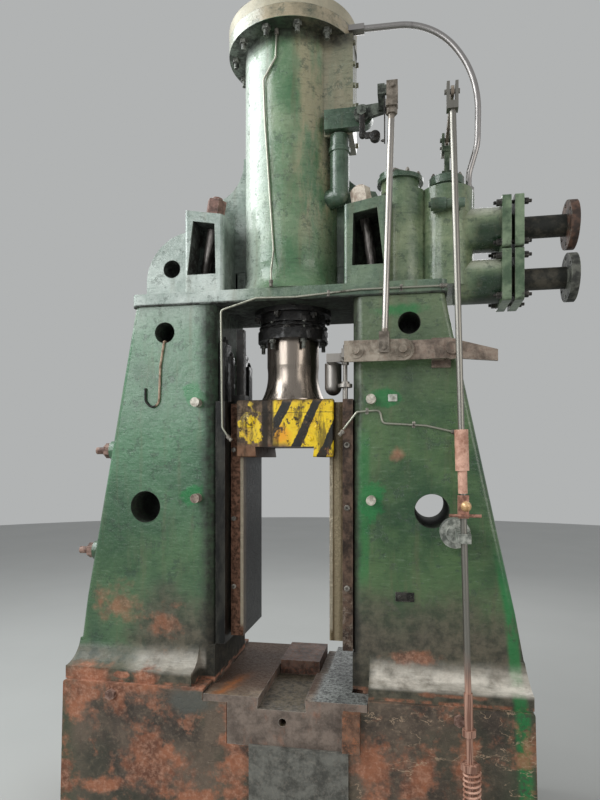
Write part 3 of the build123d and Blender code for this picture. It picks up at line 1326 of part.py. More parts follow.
def lever_stop():
    """Mushroom stop on top of the right gib, under the lever's adjuster."""
    low = GIB_TOP + SEAT_GAP
    y = STOP_Y
    body = bar((STOP_X, y, low), (STOP_X, y, STOP_TOP - 22), STOP_STEM_R)
    body += bar((STOP_X, y, STOP_TOP - 24), (STOP_X, y, STOP_TOP - 10), STOP_DISC_R)
    return body + bar((STOP_X, y, STOP_TOP - 12), (STOP_X, y, STOP_TOP), STOP_HEAD_R)


def cylinder_tube():
    """Thin oil tube down the front of the cylinder."""
    out = CYLINDER_R + TUBE_R + TUBE_CLEAR
    skirt = CYLINDER_FLARE_R + TUBE_R + TUBE_CLEAR
    route = [
        (-28, out - 2, FLANGE_BOTTOM - SEAT_GAP),
        (-32, out, FLANGE_BOTTOM - 120),
        (-90, out, FLANGE_BOTTOM - 200),
        (-82, out, FLANGE_BOTTOM - 390),
        (-42, out, PLATE_TOP + 165),
        (-44, skirt, PLATE_TOP + 65),
        (-44, skirt, PLATE_TOP + SEAT_GAP),
    ]
    points = [(x, -math.sqrt(r**2 - x**2), z) for x, r, z in route]
    return tube(points, TUBE_R, 18)


def plate_tube():
    """Thin oil tube along the lower edge of the top plate and down to the left guide."""
    y = -PLATE_FRONT - TUBE_R - SEAT_GAP
    points = [
        (660, y, PLATE_BOTTOM + 24),
        (330, y, PLATE_BOTTOM + 26),
        (60, y, PLATE_BOTTOM + 8),
        (-110, y, PLATE_BOTTOM + 12),
        (-268, y, PLATE_BOTTOM - 34),
        (-262, y, GUIDE_TOP - 110),
        (-236, y, GUIDE_TOP - 150),
    ]
    return tube(points, TUBE_R, 18)


def column_tube():
    """Thin oil tube across the right column to the right gib."""
    y = -COLUMN_HALF - TUBE_R - SEAT_GAP
    points = [
        (262, y, GUIDE_TOP - 122),
        (318, y, GUIDE_TOP - 50),
        (412, y, GUIDE_TOP - 44),
        (424, y, GUIDE_TOP - 98),
        (600, y, GUIDE_TOP - 110),
        (700, y, GUIDE_TOP - 134),
    ]
    return tube(points, TUBE_R, 18)


def hanging_hook():
    """Hook of round bar left hanging in the left column's upper hole."""
    x, z, r = UPPER_HOLE
    y = -COLUMN_HALF - HOOK_R - 1
    low = z - r + HOOK_R + 1
    points = [
        (-x, -COLUMN_HALF + 60, low),
        (-x, y, low),
        (-x - 18, y, low - 110),
        (-x - 24, y, low - 270),
        (-x - 56, y, low - 300),
        (-x - 88, y, low - 262),
        (-x - 88, y, low - 205),
    ]
    path = FilletPolyline(*points, radius=[5.5, 60, 40, 26, 26])
    section = Plane(origin=path @ 0, z_dir=path % 0) * Circle(HOOK_R)
    return sweep(section, path)


right_column = column(COLUMN_RIGHT_KNEE_X, BED_RIGHT_TOP)
left_column = mirror_x(column(COLUMN_LEFT_KNEE_X, BED_LEFT_TOP))
for boss in side_bosses():
    left_column += boss
right_guide = guide()
right_gib = gib()
right_bolts = guide_bolts()
front_tie = tie_bolt()
back_tie = mirror(front_tie, Plane.XZ)

write("bed", bed())
write("sow_block", sow_block())
write("wedge_key", wedge_key())
write("slot_block", slot_block())
write("apron_plate", apron_plate())
write("right_column", right_column)
write("left_column", left_column)
left_bolts = [mirror_x(piece) for piece in right_bolts]
write("frame_bolts", *bed_bolts(), *side_bolts(), *right_bolts, *left_bolts)
write("guides", right_guide, mirror_x(right_guide))
write("gibs", right_gib, mirror_x(right_gib))
write("top_casting", top_casting())
write("tie_bolts", front_tie, back_tie, mirror_x(front_tie), mirror_x(back_tie))
write("cylinder", cylinder())
write("cylinder_cover", cylinder_cover())
write("cylinder_studs", *cover_studs(), *gland_studs())
write("gland_neck", gland_neck())
write("gland_flange", gland_flange())
write("steam_port", steam_port())
write("downpipe", downpipe())
write("rocker_bracket", rocker_bracket())
write("valve_chest", valve_chest())
write("chest_caps", chest_cap(), chest_small_cap())
write("steam_lines", nozzle_line(UPPER_NOZZLE_Z), nozzle_line(LOWER_NOZZLE_Z))
write("balance_pipe", balance_pipe(), *balance_fittings())
write("ram", ram())
write("piston_rod", piston_rod())
write("lever_bracket", lever_bracket())
write("valve_lever", valve_lever())
write("lever_link", lever_link())
write("lever_shoe", lever_shoe())
write("valve_rod", valve_rod())
write("valve_rocker", valve_rocker())
write("throttle_post", throttle_post())
write("throttle_spindle", throttle_spindle())
write("throttle_rocker", throttle_rocker())
write("throttle_rod", throttle_rod())
write("rod_sleeve", rod_sleeve())
write("rod_handle", rod_handle())
write("return_spring", return_spring())
write("rod_guides", throttle_hub(), spring_bracket())
write("buffer_post", buffer_post())
write("lever_stop", lever_stop())
write("oil_tubes", cylinder_tube(), plate_tube(), column_tube())
write("hanging_hook", hanging_hook())
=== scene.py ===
import math

import bmesh
import bpy
from mathutils import Matrix, Vector, noise


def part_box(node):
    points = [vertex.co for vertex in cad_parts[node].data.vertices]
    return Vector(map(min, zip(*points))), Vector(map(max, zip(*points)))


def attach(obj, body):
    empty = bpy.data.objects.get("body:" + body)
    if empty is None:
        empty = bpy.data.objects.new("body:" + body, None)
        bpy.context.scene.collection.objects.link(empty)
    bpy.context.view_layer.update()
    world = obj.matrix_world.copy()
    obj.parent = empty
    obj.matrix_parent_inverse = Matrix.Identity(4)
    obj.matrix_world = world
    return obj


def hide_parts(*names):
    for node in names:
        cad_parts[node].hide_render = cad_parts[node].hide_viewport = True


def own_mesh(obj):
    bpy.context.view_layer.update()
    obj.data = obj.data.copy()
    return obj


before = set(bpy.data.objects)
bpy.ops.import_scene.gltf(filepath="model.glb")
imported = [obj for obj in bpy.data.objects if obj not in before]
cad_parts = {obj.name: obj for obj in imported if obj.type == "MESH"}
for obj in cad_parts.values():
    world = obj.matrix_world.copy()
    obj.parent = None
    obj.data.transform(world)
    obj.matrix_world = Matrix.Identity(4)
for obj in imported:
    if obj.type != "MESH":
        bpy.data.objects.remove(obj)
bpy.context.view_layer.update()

# %% [markdown]
# This is a steam forging hammer with two cast columns, the kind that stands in a forge for
# a lifetime under many coats of green paint. Its main solids come ready made from the CAD
# model. What is left to do here is to look at it closely: paint, rust, grease and steel,
# and the small fittings that CAD leaves out.
# Each part of the work is a cell, and each cell starts with what the real thing is like.

# %% [markdown]
# The camera comes first, because all that follows is judged through it. The picture was
# taken level, at eye height, close to the machine and a little to its right. Upright edges
# stay upright in such a picture, so the camera is not tilted. Its view is shifted up
# instead, as an architect's camera does.

# %% The camera
EYE = (0.54, -2.74, 1.60)
TURN_LEFT_DEG = 10.5
LENS_MM = 27.0
SHIFT_UP = 0.075


def set_camera(place, turn_deg, lens, shift):
    """A level camera at a place, turned to the left by an angle."""
    data = bpy.data.cameras.new("camera")
    data.lens = lens
    data.sensor_width = 36.0
    data.shift_y = shift
    camera = bpy.data.objects.new("camera", data)
    camera.location = place
    camera.rotation_euler = (math.radians(90), 0, math.radians(turn_deg))
    bpy.context.scene.collection.objects.link(camera)
    bpy.context.scene.camera = camera
    return camera


camera = set_camera(EYE, TURN_LEFT_DEG, LENS_MM, SHIFT_UP)
print("camera", EYE, "lens", LENS_MM)

# %% [markdown]
# Wet-looking paint turns one broad light into an upright bright band on the cylinder, and
# that band tells more about its shape than any shadow. So the main lamp is large and soft,
# and hangs high on the left. A second one lights the left column from the front, a weaker
# one on the right opens the shadows, and one behind draws the edges.

# %% Lamps
def soft_lamp(name, place, target, size, watts, colour=(1, 1, 1)):
    """A square lamp that faces a target."""
    data = bpy.data.lights.new(name, "AREA")
    data.shape = "RECTANGLE"
    data.size, data.size_y = size
    data.energy = watts
    data.color = colour
    lamp = bpy.data.objects.new(name, data)
    aim = Vector(target) - Vector(place)
    lamp.matrix_world = Matrix.Translation(place) @ aim.to_track_quat("-Z", "Y").to_matrix().to_4x4()
    bpy.context.scene.collection.objects.link(lamp)
    return lamp


LAMPS = (
    ("high_left", (-3.8, -0.9, 5.0), (-0.2, 0, 3.0), (5.0, 2.8), 275, (0.95, 0.99, 1.0)),
    ("front_left", (-2.7, -4.3, 3.3), (-0.3, 0, 1.6), (2.6, 2.6), 70, (0.97, 0.99, 1.0)),
    ("fill_right", (4.2, -3.4, 2.6), (0, 0, 1.5), (3.0, 3.0), 55, (1.0, 0.96, 0.9)),
    ("back", (1.0, 4.5, 4.2), (0, 0, 1.8), (4.0, 2.5), 60, (1.0, 1.0, 1.0)),
)
for lamp in LAMPS:
    soft_lamp(*lamp)
print("lamps", {lamp[0]: lamp[4] for lamp in LAMPS})

# %% [markdown]
# The world fills the shadows with even light, and it also shows as a plain grey backdrop.
# Light Path tells the two uses apart: a ray from the camera, or one that a surface mirrors
# or lets through, meets the backdrop, and every other ray gets the light. Grey is kinder
# than white here, because white would lie in all the gloss like a haze over dark greens.

# %% The backdrop and the light around
EVEN_LIGHT = (0.95, 0.97, 1.0, 1)
EVEN_STRENGTH = 0.5
BACKDROP_GREY = (0.44, 0.45, 0.45, 1)

world = bpy.data.worlds.new("surroundings")
world.use_nodes = True
bpy.context.scene.world = world
sky = world.node_tree
background = sky.nodes["Background"]
background.inputs["Color"].default_value = EVEN_LIGHT
background.inputs["Strength"].default_value = EVEN_STRENGTH
backdrop = sky.nodes.new("ShaderNodeBackground")
backdrop.inputs["Color"].default_value = BACKDROP_GREY
path = sky.nodes.new("ShaderNodeLightPath")
choose = sky.nodes.new("ShaderNodeMixShader")
seen = path.outputs["Is Camera Ray"]
for ray in ("Is Glossy Ray", "Is Transmission Ray"):
    either = sky.nodes.new("ShaderNodeMath")
    either.operation = "MAXIMUM"
    sky.links.new(seen, either.inputs[0])
    sky.links.new(path.outputs[ray], either.inputs[1])
    seen = either.outputs[0]
sky.links.new(seen, choose.inputs[0])
for socket, side in enumerate((background, backdrop), start=1):
    sky.links.new(side.outputs[0], choose.inputs[socket])
sky.links.new(choose.outputs[0], sky.nodes["World Output"].inputs["Surface"])
bpy.context.scene.view_settings.view_transform = "Standard"
print("world", len(sky.nodes), "nodes")

# %% [markdown]
# A material is a network of nodes, and a network is tedious to wire by hand. What most of
# the nodes do is arithmetic: this mask times that noise, one minus the other. So a small
# class wraps a socket and gives it Python's own signs. An expression such as 1 - mask then
# adds its Math node by itself, and the recipe for a finish can be read as a formula.

# %% A value on its way through a material
class Flow:
    """A number, colour or vector on its way through a material's nodes."""

    def __init__(self, finish, socket):
        self.finish = finish
        self.socket = socket

    def __add__(self, other):
        return self.finish.maths("ADD", self, other)

    def __sub__(self, other):
        return self.finish.maths("SUBTRACT", self, other)

    def __rsub__(self, other):
        return self.finish.maths("SUBTRACT", other, self)

    def __mul__(self, other):
        return self.finish.maths("MULTIPLY", self, other)

    def __truediv__(self, other):
        return self.finish.maths("DIVIDE", self, other)

    def __abs__(self):
        return self.finish.maths("ABSOLUTE", self)

    __radd__ = __add__
    __rmul__ = __mul__


print("signs of a Flow:", [name for name in vars(Flow) if name.startswith("__r")])

# %% [markdown]
# Colours are written as a colour picker shows them, with six signs after a #. The shader
# wants linear light instead, so each of the three parts is bent back by the usual curve.

# %% A colour
def shade(code):
    """A colour as the shader wants it, from the code that a colour picker shows."""
    parts = [int(code[i:i + 2], 16) / 255 for i in (1, 3, 5)]
    linear = [p / 12.92 if p <= 0.04045 else ((p + 0.055) / 1.055) ** 2.4 for p in parts]
    return (*linear, 1.0)


GREASE = shade("#14120f")
GRIME = shade("#1f1e19")
EMERALD = shade("#0f7a3c")
print("emerald", [round(part, 3) for part in EMERALD])

# %% [markdown]
# The second class is the material itself. It has one way to add a node, whatever the node
# is, and short words for the few that every finish needs: noise, a soft step between two
# levels, a mix of two colours, a round patch at a place on the machine. Patterns are read
# from Object coordinates. They are metres on this model, so a scale of 100 means a grain
# of about a centimetre on every piece.

# %% A finish and its words
EDGE_LOW, EDGE_HIGH = 0.03, 0.3


class Finish:
    """A material with short words for its nodes."""

    def __init__(self, name, **constants):
        self.material = bpy.data.materials.new(name)
        self.material.use_nodes = True
        self.tree = self.material.node_tree
        self.shader = self.tree.nodes["Principled BSDF"]
        for key, value in constants.items():
            self.shader.inputs[key.replace("_", " ")].default_value = value
        self.where = self.node("ShaderNodeTexCoord", {}, {}, "Object")
        split = self.node("ShaderNodeSeparateXYZ", {}, {0: self.where}).socket.node
        self.x, self.y, self.z = [Flow(self, split.outputs[i]) for i in range(3)]

    def node(self, kind, settings, values, out=0):
        """Adds a node: first its settings, then the values or links of its sockets."""
        node = self.tree.nodes.new(kind)
        for key, value in settings.items():
            setattr(node, key, value)
        for key, value in values.items():
            if isinstance(value, Flow):
                self.tree.links.new(value.socket, node.inputs[key])
            else:
                node.inputs[key].default_value = value
        return Flow(self, node.outputs[out])

    def maths(self, operation, first, second=None):
        values = {0: first} if second is None else {0: first, 1: second}
        return self.node("ShaderNodeMath", {"operation": operation}, values)

    def top(self, first, second):
        """The larger of two values."""
        return self.maths("MAXIMUM", first, second)

    def step(self, value, start, end):
        """0 below start, 1 above end, and smooth between them."""
        settings = {"interpolation_type": "SMOOTHSTEP"}
        values = {"Value": value, "From Min": start, "From Max": end}
        if start > end:
            values.update({"From Min": end, "From Max": start, "To Min": 1.0, "To Max": 0.0})
        return self.node("ShaderNodeMapRange", settings, values)

    def noise(self, scale, detail=3.0, rough=0.55, stretch=(1, 1, 1), shift=(0, 0, 0), twist=0.0):
        """Cloudy noise between 0 and 1, about 0.5 on average."""
        placing = {"Vector": self.where, "Location": shift, "Scale": stretch}
        placed = self.node("ShaderNodeMapping", {}, placing)
        values = {"Vector": placed, "Scale": scale, "Detail": detail, "Roughness": rough}
        return self.node("ShaderNodeTexNoise", {}, {**values, "Distortion": twist})

    def blots(self, low, high, *grain, **placing):
        """Noise with a strong contrast: 0 below one level of it, and 1 above another."""
        return self.step(self.noise(*grain, **placing), low, high)

    def mottle(self, dark, light, low, high, *grain, **placing):
        """Two colours that change places in blots."""
        return self.mix(shade(dark), shade(light), self.blots(low, high, *grain, **placing))

    def cells(self, scale, feature="F1"):
        """Distance to the nearest of many scattered points."""
        placed = self.node("ShaderNodeMapping", {}, {"Vector": self.where})
        return self.node("ShaderNodeTexVoronoi", {"feature": feature}, {"Vector": placed, "Scale": scale})

    def mix(self, first, second, share):
        """Two colours mixed by a share from 0 to 1."""
        values = {0: share, 6: first, 7: second}
        return self.node("ShaderNodeMix", {"data_type": "RGBA"}, values, 2)

    def patch(self, x, z, wide, tall, ragged=0.7, soft=0.35, grain=11.0):
        """A ragged round patch at a place in the front view, 1 inside it."""
        right = (self.x - x) / wide
        up = (self.z - z) / tall
        far = self.maths("SQRT", right * right + up * up)
        far = far + (self.noise(grain, 5.0, 0.62, shift=(x, 0, z)) - 0.5) * ragged * 2
        return self.step(far, 1.0, 1.0 - soft)

    def edges(self, radius):
        """1 on corners and edges, as far in as the radius."""
        rounded = self.node("ShaderNodeBevel", {"samples": 4}, {"Radius": radius}, "Normal")
        flat = self.node("ShaderNodeNewGeometry", {}, {}, "Normal")
        dot = {"operation": "DOT_PRODUCT"}
        along = self.node("ShaderNodeVectorMath", dot, {0: rounded, 1: flat}, "Value")
        return self.step(1 - along, EDGE_LOW, EDGE_HIGH)

    def worn_edges(self, radius, low, high, *grain, **placing):
        """Corners and edges, rubbed here and there."""
        return self.edges(radius) * self.blots(low, high, *grain, **placing)

    def relief(self, height, depth):
        """Turns a height from 0 to 1 into bumps of a real depth."""
        return self.node("ShaderNodeBump", {}, {"Height": height, "Distance": depth})

    def finish(self, colour, rough=None, metal=None, normal=None, coat=None):
        """Wires what was made to the shader."""
        wires = {"Base Color": colour, "Roughness": rough, "Metallic": metal}
        wires.update({"Normal": normal, "Coat Weight": coat})
        for key, value in wires.items():
            if isinstance(value, Flow):
                self.tree.links.new(value.socket, self.shader.inputs[key])
            elif value is not None:
                self.shader.inputs[key].default_value = value
        print("finish", self.material.name, len(self.tree.nodes), "nodes")
        return self.material


print("words of a finish:", [name for name in vars(Finish) if not name.startswith("_")])

# %% [markdown]
# Rust is on nearly every part of the machine, so its colour comes first. It is not orange.
# Old rust under oil goes from brown to a dusty pink, and the change has no hard border.

# %% Rust
RUST_DARK = shade("#6a4637")
RUST_MAIN = shade("#a0684d")
RUST_PALE = shade("#c4977f")


def rust_colour(f):
    """Rust that goes from brown to a dusty pink, without hard borders."""
    broad = f.blots(0.3, 0.62, 9, 5, 0.6)
    fine = f.blots(0.4, 0.75, 60, 5, 0.7, shift=(3, 1, 2))
    warm = f.mix(RUST_DARK, RUST_MAIN, broad)
    return f.mix(warm, RUST_PALE, fine * 0.7)


print("rust from", [round(part, 2) for part in RUST_DARK], "to", [round(part, 2) for part in RUST_PALE])

# %% [markdown]
# Old machine enamel on a casting is never one green. Coats of different age show through each other, brush
# marks lie across, the sand-cast skin below gives it soft lumps, and oil has browned it where hands and
# steam reach. Chips show rust. One recipe makes this paint for every green casting. What differs is handed
# in as small functions: the greens from foot to head, some of them painted paler or darker as painted light,
# where it rusts, where grime and painted shade sit, where a brush left fresh emerald, and where polish with
# a painted sheen lies. Each of them returns a colour or a mask, and the recipe stacks them from broad to
# fine.

# %% Enamel
SOIL = shade("#635a4d")
PAINT_DEPTH = 0.0075


def nothing(f):
    """A mask that is 0 everywhere."""
    return f.x * 0.0


def enamel(
    name, greens, rust=nothing, grime_and_shade=nothing, bright=nothing, soil=nothing, polish_sheen=nothing, runs=0.35
):
    """Layered green paint. What follows the name are functions of the finish, but for runs."""
    f = Finish(name, Specular_IOR_Level=0.5, Coat_Roughness=0.14)
    colour = greens(f)
    marks = f.noise(48, 4, 0.62, (0.5, 0.5, 2.6), (3, 3, 3), 0.7)
    colour = f.mix(colour, shade("#1e3526"), f.step(marks, 0.52, 0.74) * 0.5)
    colour = f.mix(colour, shade("#b4c4b0"), f.step(marks, 0.46, 0.24) * 0.15)
    flakes = f.blots(0.575, 0.592, 19, 8, 0.76, shift=(4, 2, 7))
    colour = f.mix(colour, shade("#34493a"), flakes * 0.5)
    streaks = f.blots(0.5, 0.76, 8, 5, 0.62, (3.2, 3.2, 0.3), (1, 5, 2))
    colour = f.mix(colour, shade("#6b6348"), streaks * runs)
    fresh = bright(f)
    colour = f.mix(colour, EMERALD, fresh * 0.85)
    earth = soil(f)
    crumbs = f.noise(30, 7, 0.75, shift=(7, 7, 1))
    ground = f.mix(shade("#35322b"), SOIL, f.blots(0.32, 0.66, 21, 7, 0.68, shift=(1, 7, 3)))
    cover = f.step(earth + (f.noise(17, 8, 0.7) - 0.5) * 0.8, 0.15, 0.75)
    colour = f.mix(colour, ground, cover * earth * (1 - fresh * 0.8) * 0.92)
    # grime and painted shade: one mask darkens with grime and paints shade into holes, pockets, under the
    # flange and beside the guides
    grime_and_shade_share = grime_and_shade(f)
    colour = f.mix(colour, GRIME, grime_and_shade_share * (0.72 + 0.28 * f.step(crumbs, 0.4, 0.6)))
    # polish and painted sheen: polished places are painted pale, partly a painted highlight on the rubbed
    # metal
    shine = polish_sheen(f)
    rubbed_sheen = f.mottle("#8d867b", "#ddd5c8", 0.28, 0.62, 12, 5, 0.65)
    colour = f.mix(colour, rubbed_sheen, shine)
    specks = f.blots(0.66, 0.72, 170, 3, 0.8, shift=(2, 9, 4))
    specks = specks * f.blots(0.42, 0.6, 7, 3, 0.5)
    bare = rust(f)
    worn = f.worn_edges(0.006, 0.46, 0.6, 26, 4, 0.6, shift=(5, 5, 5))
    colour = f.mix(colour, shade("#8a9484"), worn * (1 - grime_and_shade_share) * 0.55)
    colour = f.mix(colour, rust_colour(f), f.top(bare, specks * 0.6))
    skin = f.noise(10, 3, 0.5) * 0.42 + f.noise(36, 3, 0.55, shift=(1, 2, 3)) * 0.34 + marks * 0.16
    rubble = crumbs * (0.10 + 0.22 * f.top(bare, earth))
    height = skin - flakes * 0.05 + rubble + f.noise(230, 2, 0.5) * 0.05
    dull = grime_and_shade_share * (0.26 + 0.4 * f.step(grime_and_shade_share, 0.8, 0.95)) + 0.34 * earth
    rough = 0.24 + 0.14 * streaks + dull + 0.10 * f.blots(0.4, 0.7, 40, 4)
    rough = f.maths("MINIMUM", rough + bare * 0.55, 0.9) * (1 - shine * 0.45)
    coat = (1 - f.top(f.top(bare, earth), grime_and_shade_share)) * 0.5
    return f.finish(colour, rough, None, f.relief(height, PAINT_DEPTH), coat)


print("rust, chips and runs lie up to", PAINT_DEPTH * 1000, "mm deep")

# %% [markdown]
# The two columns are one casting and its mirror image, and their greens differ as painted light. The left
# one faces the light, so its greens are painted paler, and towards its head paler still, as a painted
# highlight. The right one is painted darker, as painted shade, and more olive. Each recipe mixes two greens
# in soft clouds and then makes what is high paler.

# %% The greens of the columns
def left_greens(f):
    # painted light: these greens are painted paler than the right column's, where the light from the left
    # falls
    clouds = f.blots(0.34, 0.66, 3.2, 6, 0.62, twist=0.5)
    low = f.mix(shade("#35543a"), shade("#4f6d4a"), clouds)
    middle = f.mix(shade("#3f6549"), shade("#568060"), clouds)
    colour = f.mix(low, middle, f.step(f.z, 1.1, 1.65))
    # painted highlight: the head of the left column is painted paler still
    paler_high = f.step(f.z + 0.5 * f.noise(5, 6, 0.68, shift=(4, 2, 7)), 2.3, 2.6)
    return f.mix(colour, shade("#8b9c8d"), paler_high * 0.75)


def right_greens(f):
    # painted shade: these greens are painted darker than the left column's
    clouds = f.blots(0.34, 0.66, 3.2, 6, 0.62, shift=(5, 5, 5), twist=0.5)
    colour = f.mix(shade("#274a2c"), shade("#516d44"), clouds)
    # paler towards the top
    paler_high = f.step(f.z + 0.5 * f.noise(6, 6, 0.68, shift=(4, 2, 7)), 1.9, 2.6)
    return f.mix(colour, shade("#738063"), paler_high * 0.7)


print("greens from", shade("#274a2c")[1], "to", shade("#8b9c8d")[1], "in linear light")

# %% [markdown]
# Rust breaks out where water stands: in two clouds on the left knee, in patches along the
# foot, and in a thin seam where the column meets the bed. Each patch is given by its middle
# in the front view, its half width and half height, and how ragged and soft its border is.

# %% Rust on the columns
KNEE_RUST = ((-0.75, 0.96, 0.13, 0.10, 1.3, 0.9, 16), (-0.52, 0.87, 0.10, 0.11, 1.7, 0.9, 18))
FOOT_RUST = (
    (-0.84, 0.665, 0.15, 0.065, 0.9, 0.6, 9), (-0.69, 0.675, 0.045, 0.022, 1.0),
    (-0.585, 0.665, 0.085, 0.05, 1.1, 0.7, 14),
)
RIGHT_RUST = ((0.49, 1.62, 0.035, 0.05, 1.2, 0.8), (0.55, 0.79, 0.15, 0.03, 1.8, 0.8))
FAINT_RUST = (0.70, 0.68, 0.20, 0.012, 1.6, 0.7)


def spots(f, places):
    """Several ragged patches in one mask."""
    mask = f.patch(*places[0])
    for place in places[1:]:
        mask = f.top(mask, f.patch(*place))
    return mask


def column_rust(f):
    left = f.top(spots(f, KNEE_RUST) * 0.65, spots(f, FOOT_RUST))
    right = f.top(spots(f, RIGHT_RUST) * 0.75, f.patch(*FAINT_RUST) * 0.7)
    seam = f.step(f.z, 0.662, 0.650) * f.blots(0.4, 0.6, 18, 5, 0.7)
    return f.top(f.top(left, right), seam)


print("patches of rust", len(KNEE_RUST + FOOT_RUST + RIGHT_RUST) + 1)

# %% [markdown]
# Fresh emerald paint was tried out on the machine. It runs as a ragged stripe down the
# right edge, over column and bed, and lies in rings round the bolts of the guides. The
# stripe leans with the edge, so its middle is a formula of the height.

# %% Fresh emerald
STRIPE_FOOT_X, STRIPE_FOOT_Z, STRIPE_LEAN = 0.952, 0.64, 0.055
LEFT_DABS = ((-0.385, 1.87, 0.055, 0.06, 1.3), (-0.40, 1.44, 0.06, 0.05, 1.2))
RIGHT_DABS = (
    (0.425, 1.85, 0.075, 0.045, 1.1), (0.385, 1.42, 0.065, 0.085, 1.2), (0.47, 2.22, 0.12, 0.035, 1.3, 0.8),
)


def stripe_line(f):
    """Where the middle of the emerald stripe lies, at each height."""
    lean = (f.maths("MINIMUM", f.z, 1.3) - STRIPE_FOOT_Z) * STRIPE_LEAN
    return STRIPE_FOOT_X - lean - f.step(f.z, 0.9, 1.6) * 0.08


def fresh_stripe(f):
    """The emerald stripe down the right edge, with ragged sides."""
    near = abs(f.x - stripe_line(f) + 0.022 * (f.noise(14, 5, 0.65) - 0.5))
    ragged = 0.4 + 0.6 * f.blots(0.34, 0.5, 26, 6, 0.72, (1, 1, 0.4))
    return f.step(near, 0.036, 0.014) * f.step(f.z + 0.2 * f.noise(4), 1.46, 1.1) * ragged


def column_bright(f):
    dabs = f.top(spots(f, LEFT_DABS), spots(f, RIGHT_DABS))
    inner = f.step(abs(f.x - 0.345), 0.035, 0.012) * f.step(abs(f.z - 1.4), 0.36, 0.25) * 0.55
    return f.top(dabs * 0.85, f.top(inner, fresh_stripe(f)))


print("the stripe starts at x", STRIPE_FOOT_X, "and there are", len(LEFT_DABS + RIGHT_DABS), "dabs")

# %% [markdown]
# Grime is black and greasy, soil is brown and dry. The round holes are painted black as painted shade, and
# the flanks beside the guides are painted dark with grime and painted shade. Right of the stripe the column
# is darker too. Soil lies below the knee, thick on the right. And a band at the foot is neither: boots and
# steam have polished the sweep there, and its pale colour is partly a painted sheen.

# %% Grime, painted shade, soil, and polish with painted sheen of the columns
UPPER_HOLE = (0.532, 2.163, 0.045)
LOWER_HOLE = (0.623, 1.392, 0.069)
HOLE_MARGIN = 0.0005
HOLE_BLUR = 0.002


def bore(f, hole):
    """1 in a hole that runs from front to back, on both sides of the machine."""
    x, z, radius = hole
    across = abs(f.x) - x
    high = f.z - z
    inside = radius + HOLE_MARGIN
    return f.step(f.maths("SQRT", across * across + high * high), inside + HOLE_BLUR, inside)


def column_grime_and_shade(f):
    # grime and painted shade: the flanks beside the guides are painted dark
    ragged = 0.06 * f.noise(6, 5, 0.65)
    left = f.step(f.x + ragged, -0.36, -0.30)
    right = f.step(f.x + ragged, 0.375, 0.345)
    flank = f.maths("MINIMUM", left, right) * 0.92
    # painted shade: the bores of the round holes are painted black
    bores = f.top(bore(f, UPPER_HOLE), bore(f, LOWER_HOLE))
    # darker right of the stripe, low on the column
    beyond = f.step(f.x - stripe_line(f), 0.030, 0.040)
    beyond = beyond * f.step(f.z, 1.7, 1.4) * f.step(f.z, 0.76, 0.80) * 0.7
    return f.top(f.top(flank, bores), beyond)


def column_soil(f):
    ragged = 0.3 * f.noise(3.5, 5, 0.62, shift=(2, 2, 2))
    left = f.step(f.z + ragged, 1.34, 0.98) * f.step(f.x + ragged, -0.70, -0.40)
    right = f.step(f.z + ragged, 1.42, 0.98) * f.step(f.x, 0.2, 0.3)
    foot = f.step(f.z + 0.06 * f.noise(7, 4), 0.84, 0.77) * 0.85
    return f.top(f.top(left, right), foot)


def column_polish_sheen(f):
    # polish and painted sheen: a pale band on the sweep of the foot, partly a painted highlight
    sweep = f.step(f.z, 0.682, 0.704) * f.step(f.z + 0.03 * f.noise(9, 4), 0.812, 0.722)
    broken = 0.6 + 0.4 * f.blots(0.36, 0.6, 14, 6, 0.68, (0.3, 1, 2.6))
    left = f.step(f.x, -0.72, -0.58) * f.step(f.x, -0.335, -0.35) * 0.6
    return sweep * broken * f.top(left, f.step(f.x, 0.36, 0.40)) * f.step(f.y, -0.15, -0.2) * 0.95


# rust, grime with painted shade, fresh emerald, soil, and polish with painted sheen
COLUMN_WEAR_AND_LIGHT = (column_rust, column_grime_and_shade, column_bright, column_soil, column_polish_sheen)
left_paint = enamel("column_enamel_left", left_greens, *COLUMN_WEAR_AND_LIGHT)
right_paint = enamel("column_enamel_right", right_greens, *COLUMN_WEAR_AND_LIGHT)

# %% [markdown]
# The cylinder stands above the dirt. Its paint is paler and glossier, and the light draws long reflections
# on it, while its left part is also painted near white as a painted highlight. Heat has turned its right
# part tan and the steam passage beside it olive, and dust lies on its flange. Under the flange the shade is
# painted dark, and the foot is darker too. Heat and dust are masks of place: further right than the middle
# of the cylinder, or higher than the flange's face.

# %% Enamel of the cylinder
FLANGE_FACE_Z = 3.452
SHARP = 0.0005


def cylinder_greens(f):
    clouds = f.blots(0.32, 0.66, 3.5, 6, 0.64, twist=0.4)
    colour = f.mix(shade("#48704c"), shade("#7f9474"), clouds)
    heat = f.step(f.x + 0.14 * (f.noise(5, 5, 0.65) - 0.5), 0.03, 0.09) * f.step(f.z, 2.42, 2.75)
    heat = heat * f.blots(0.36, 0.6, 7, 6, 0.7, (2, 2, 0.5))
    colour = f.mix(colour, shade("#a3987a"), heat * 0.8)
    port = f.step(f.x, 0.150, 0.170) * f.step(f.z, 2.85, 2.95)
    colour = f.mix(colour, shade("#857f6b"), port * 0.8)
    # painted highlight: the left part of the cylinder is painted near white, where the light from the left
    # falls
    painted_highlight = f.step(f.x + 0.1 * f.noise(4), 0.0, -0.14)
    colour = f.mix(colour, shade("#d0dccf"), painted_highlight * 0.9)
    dust = f.mottle("#7c7762", "#a99c82", 0.34, 0.6, 9, 6, 0.68)
    above = f.step(f.z, FLANGE_FACE_Z - SHARP, FLANGE_FACE_Z + SHARP)
    return f.mix(colour, dust, above * (1 - 0.5 * painted_highlight))


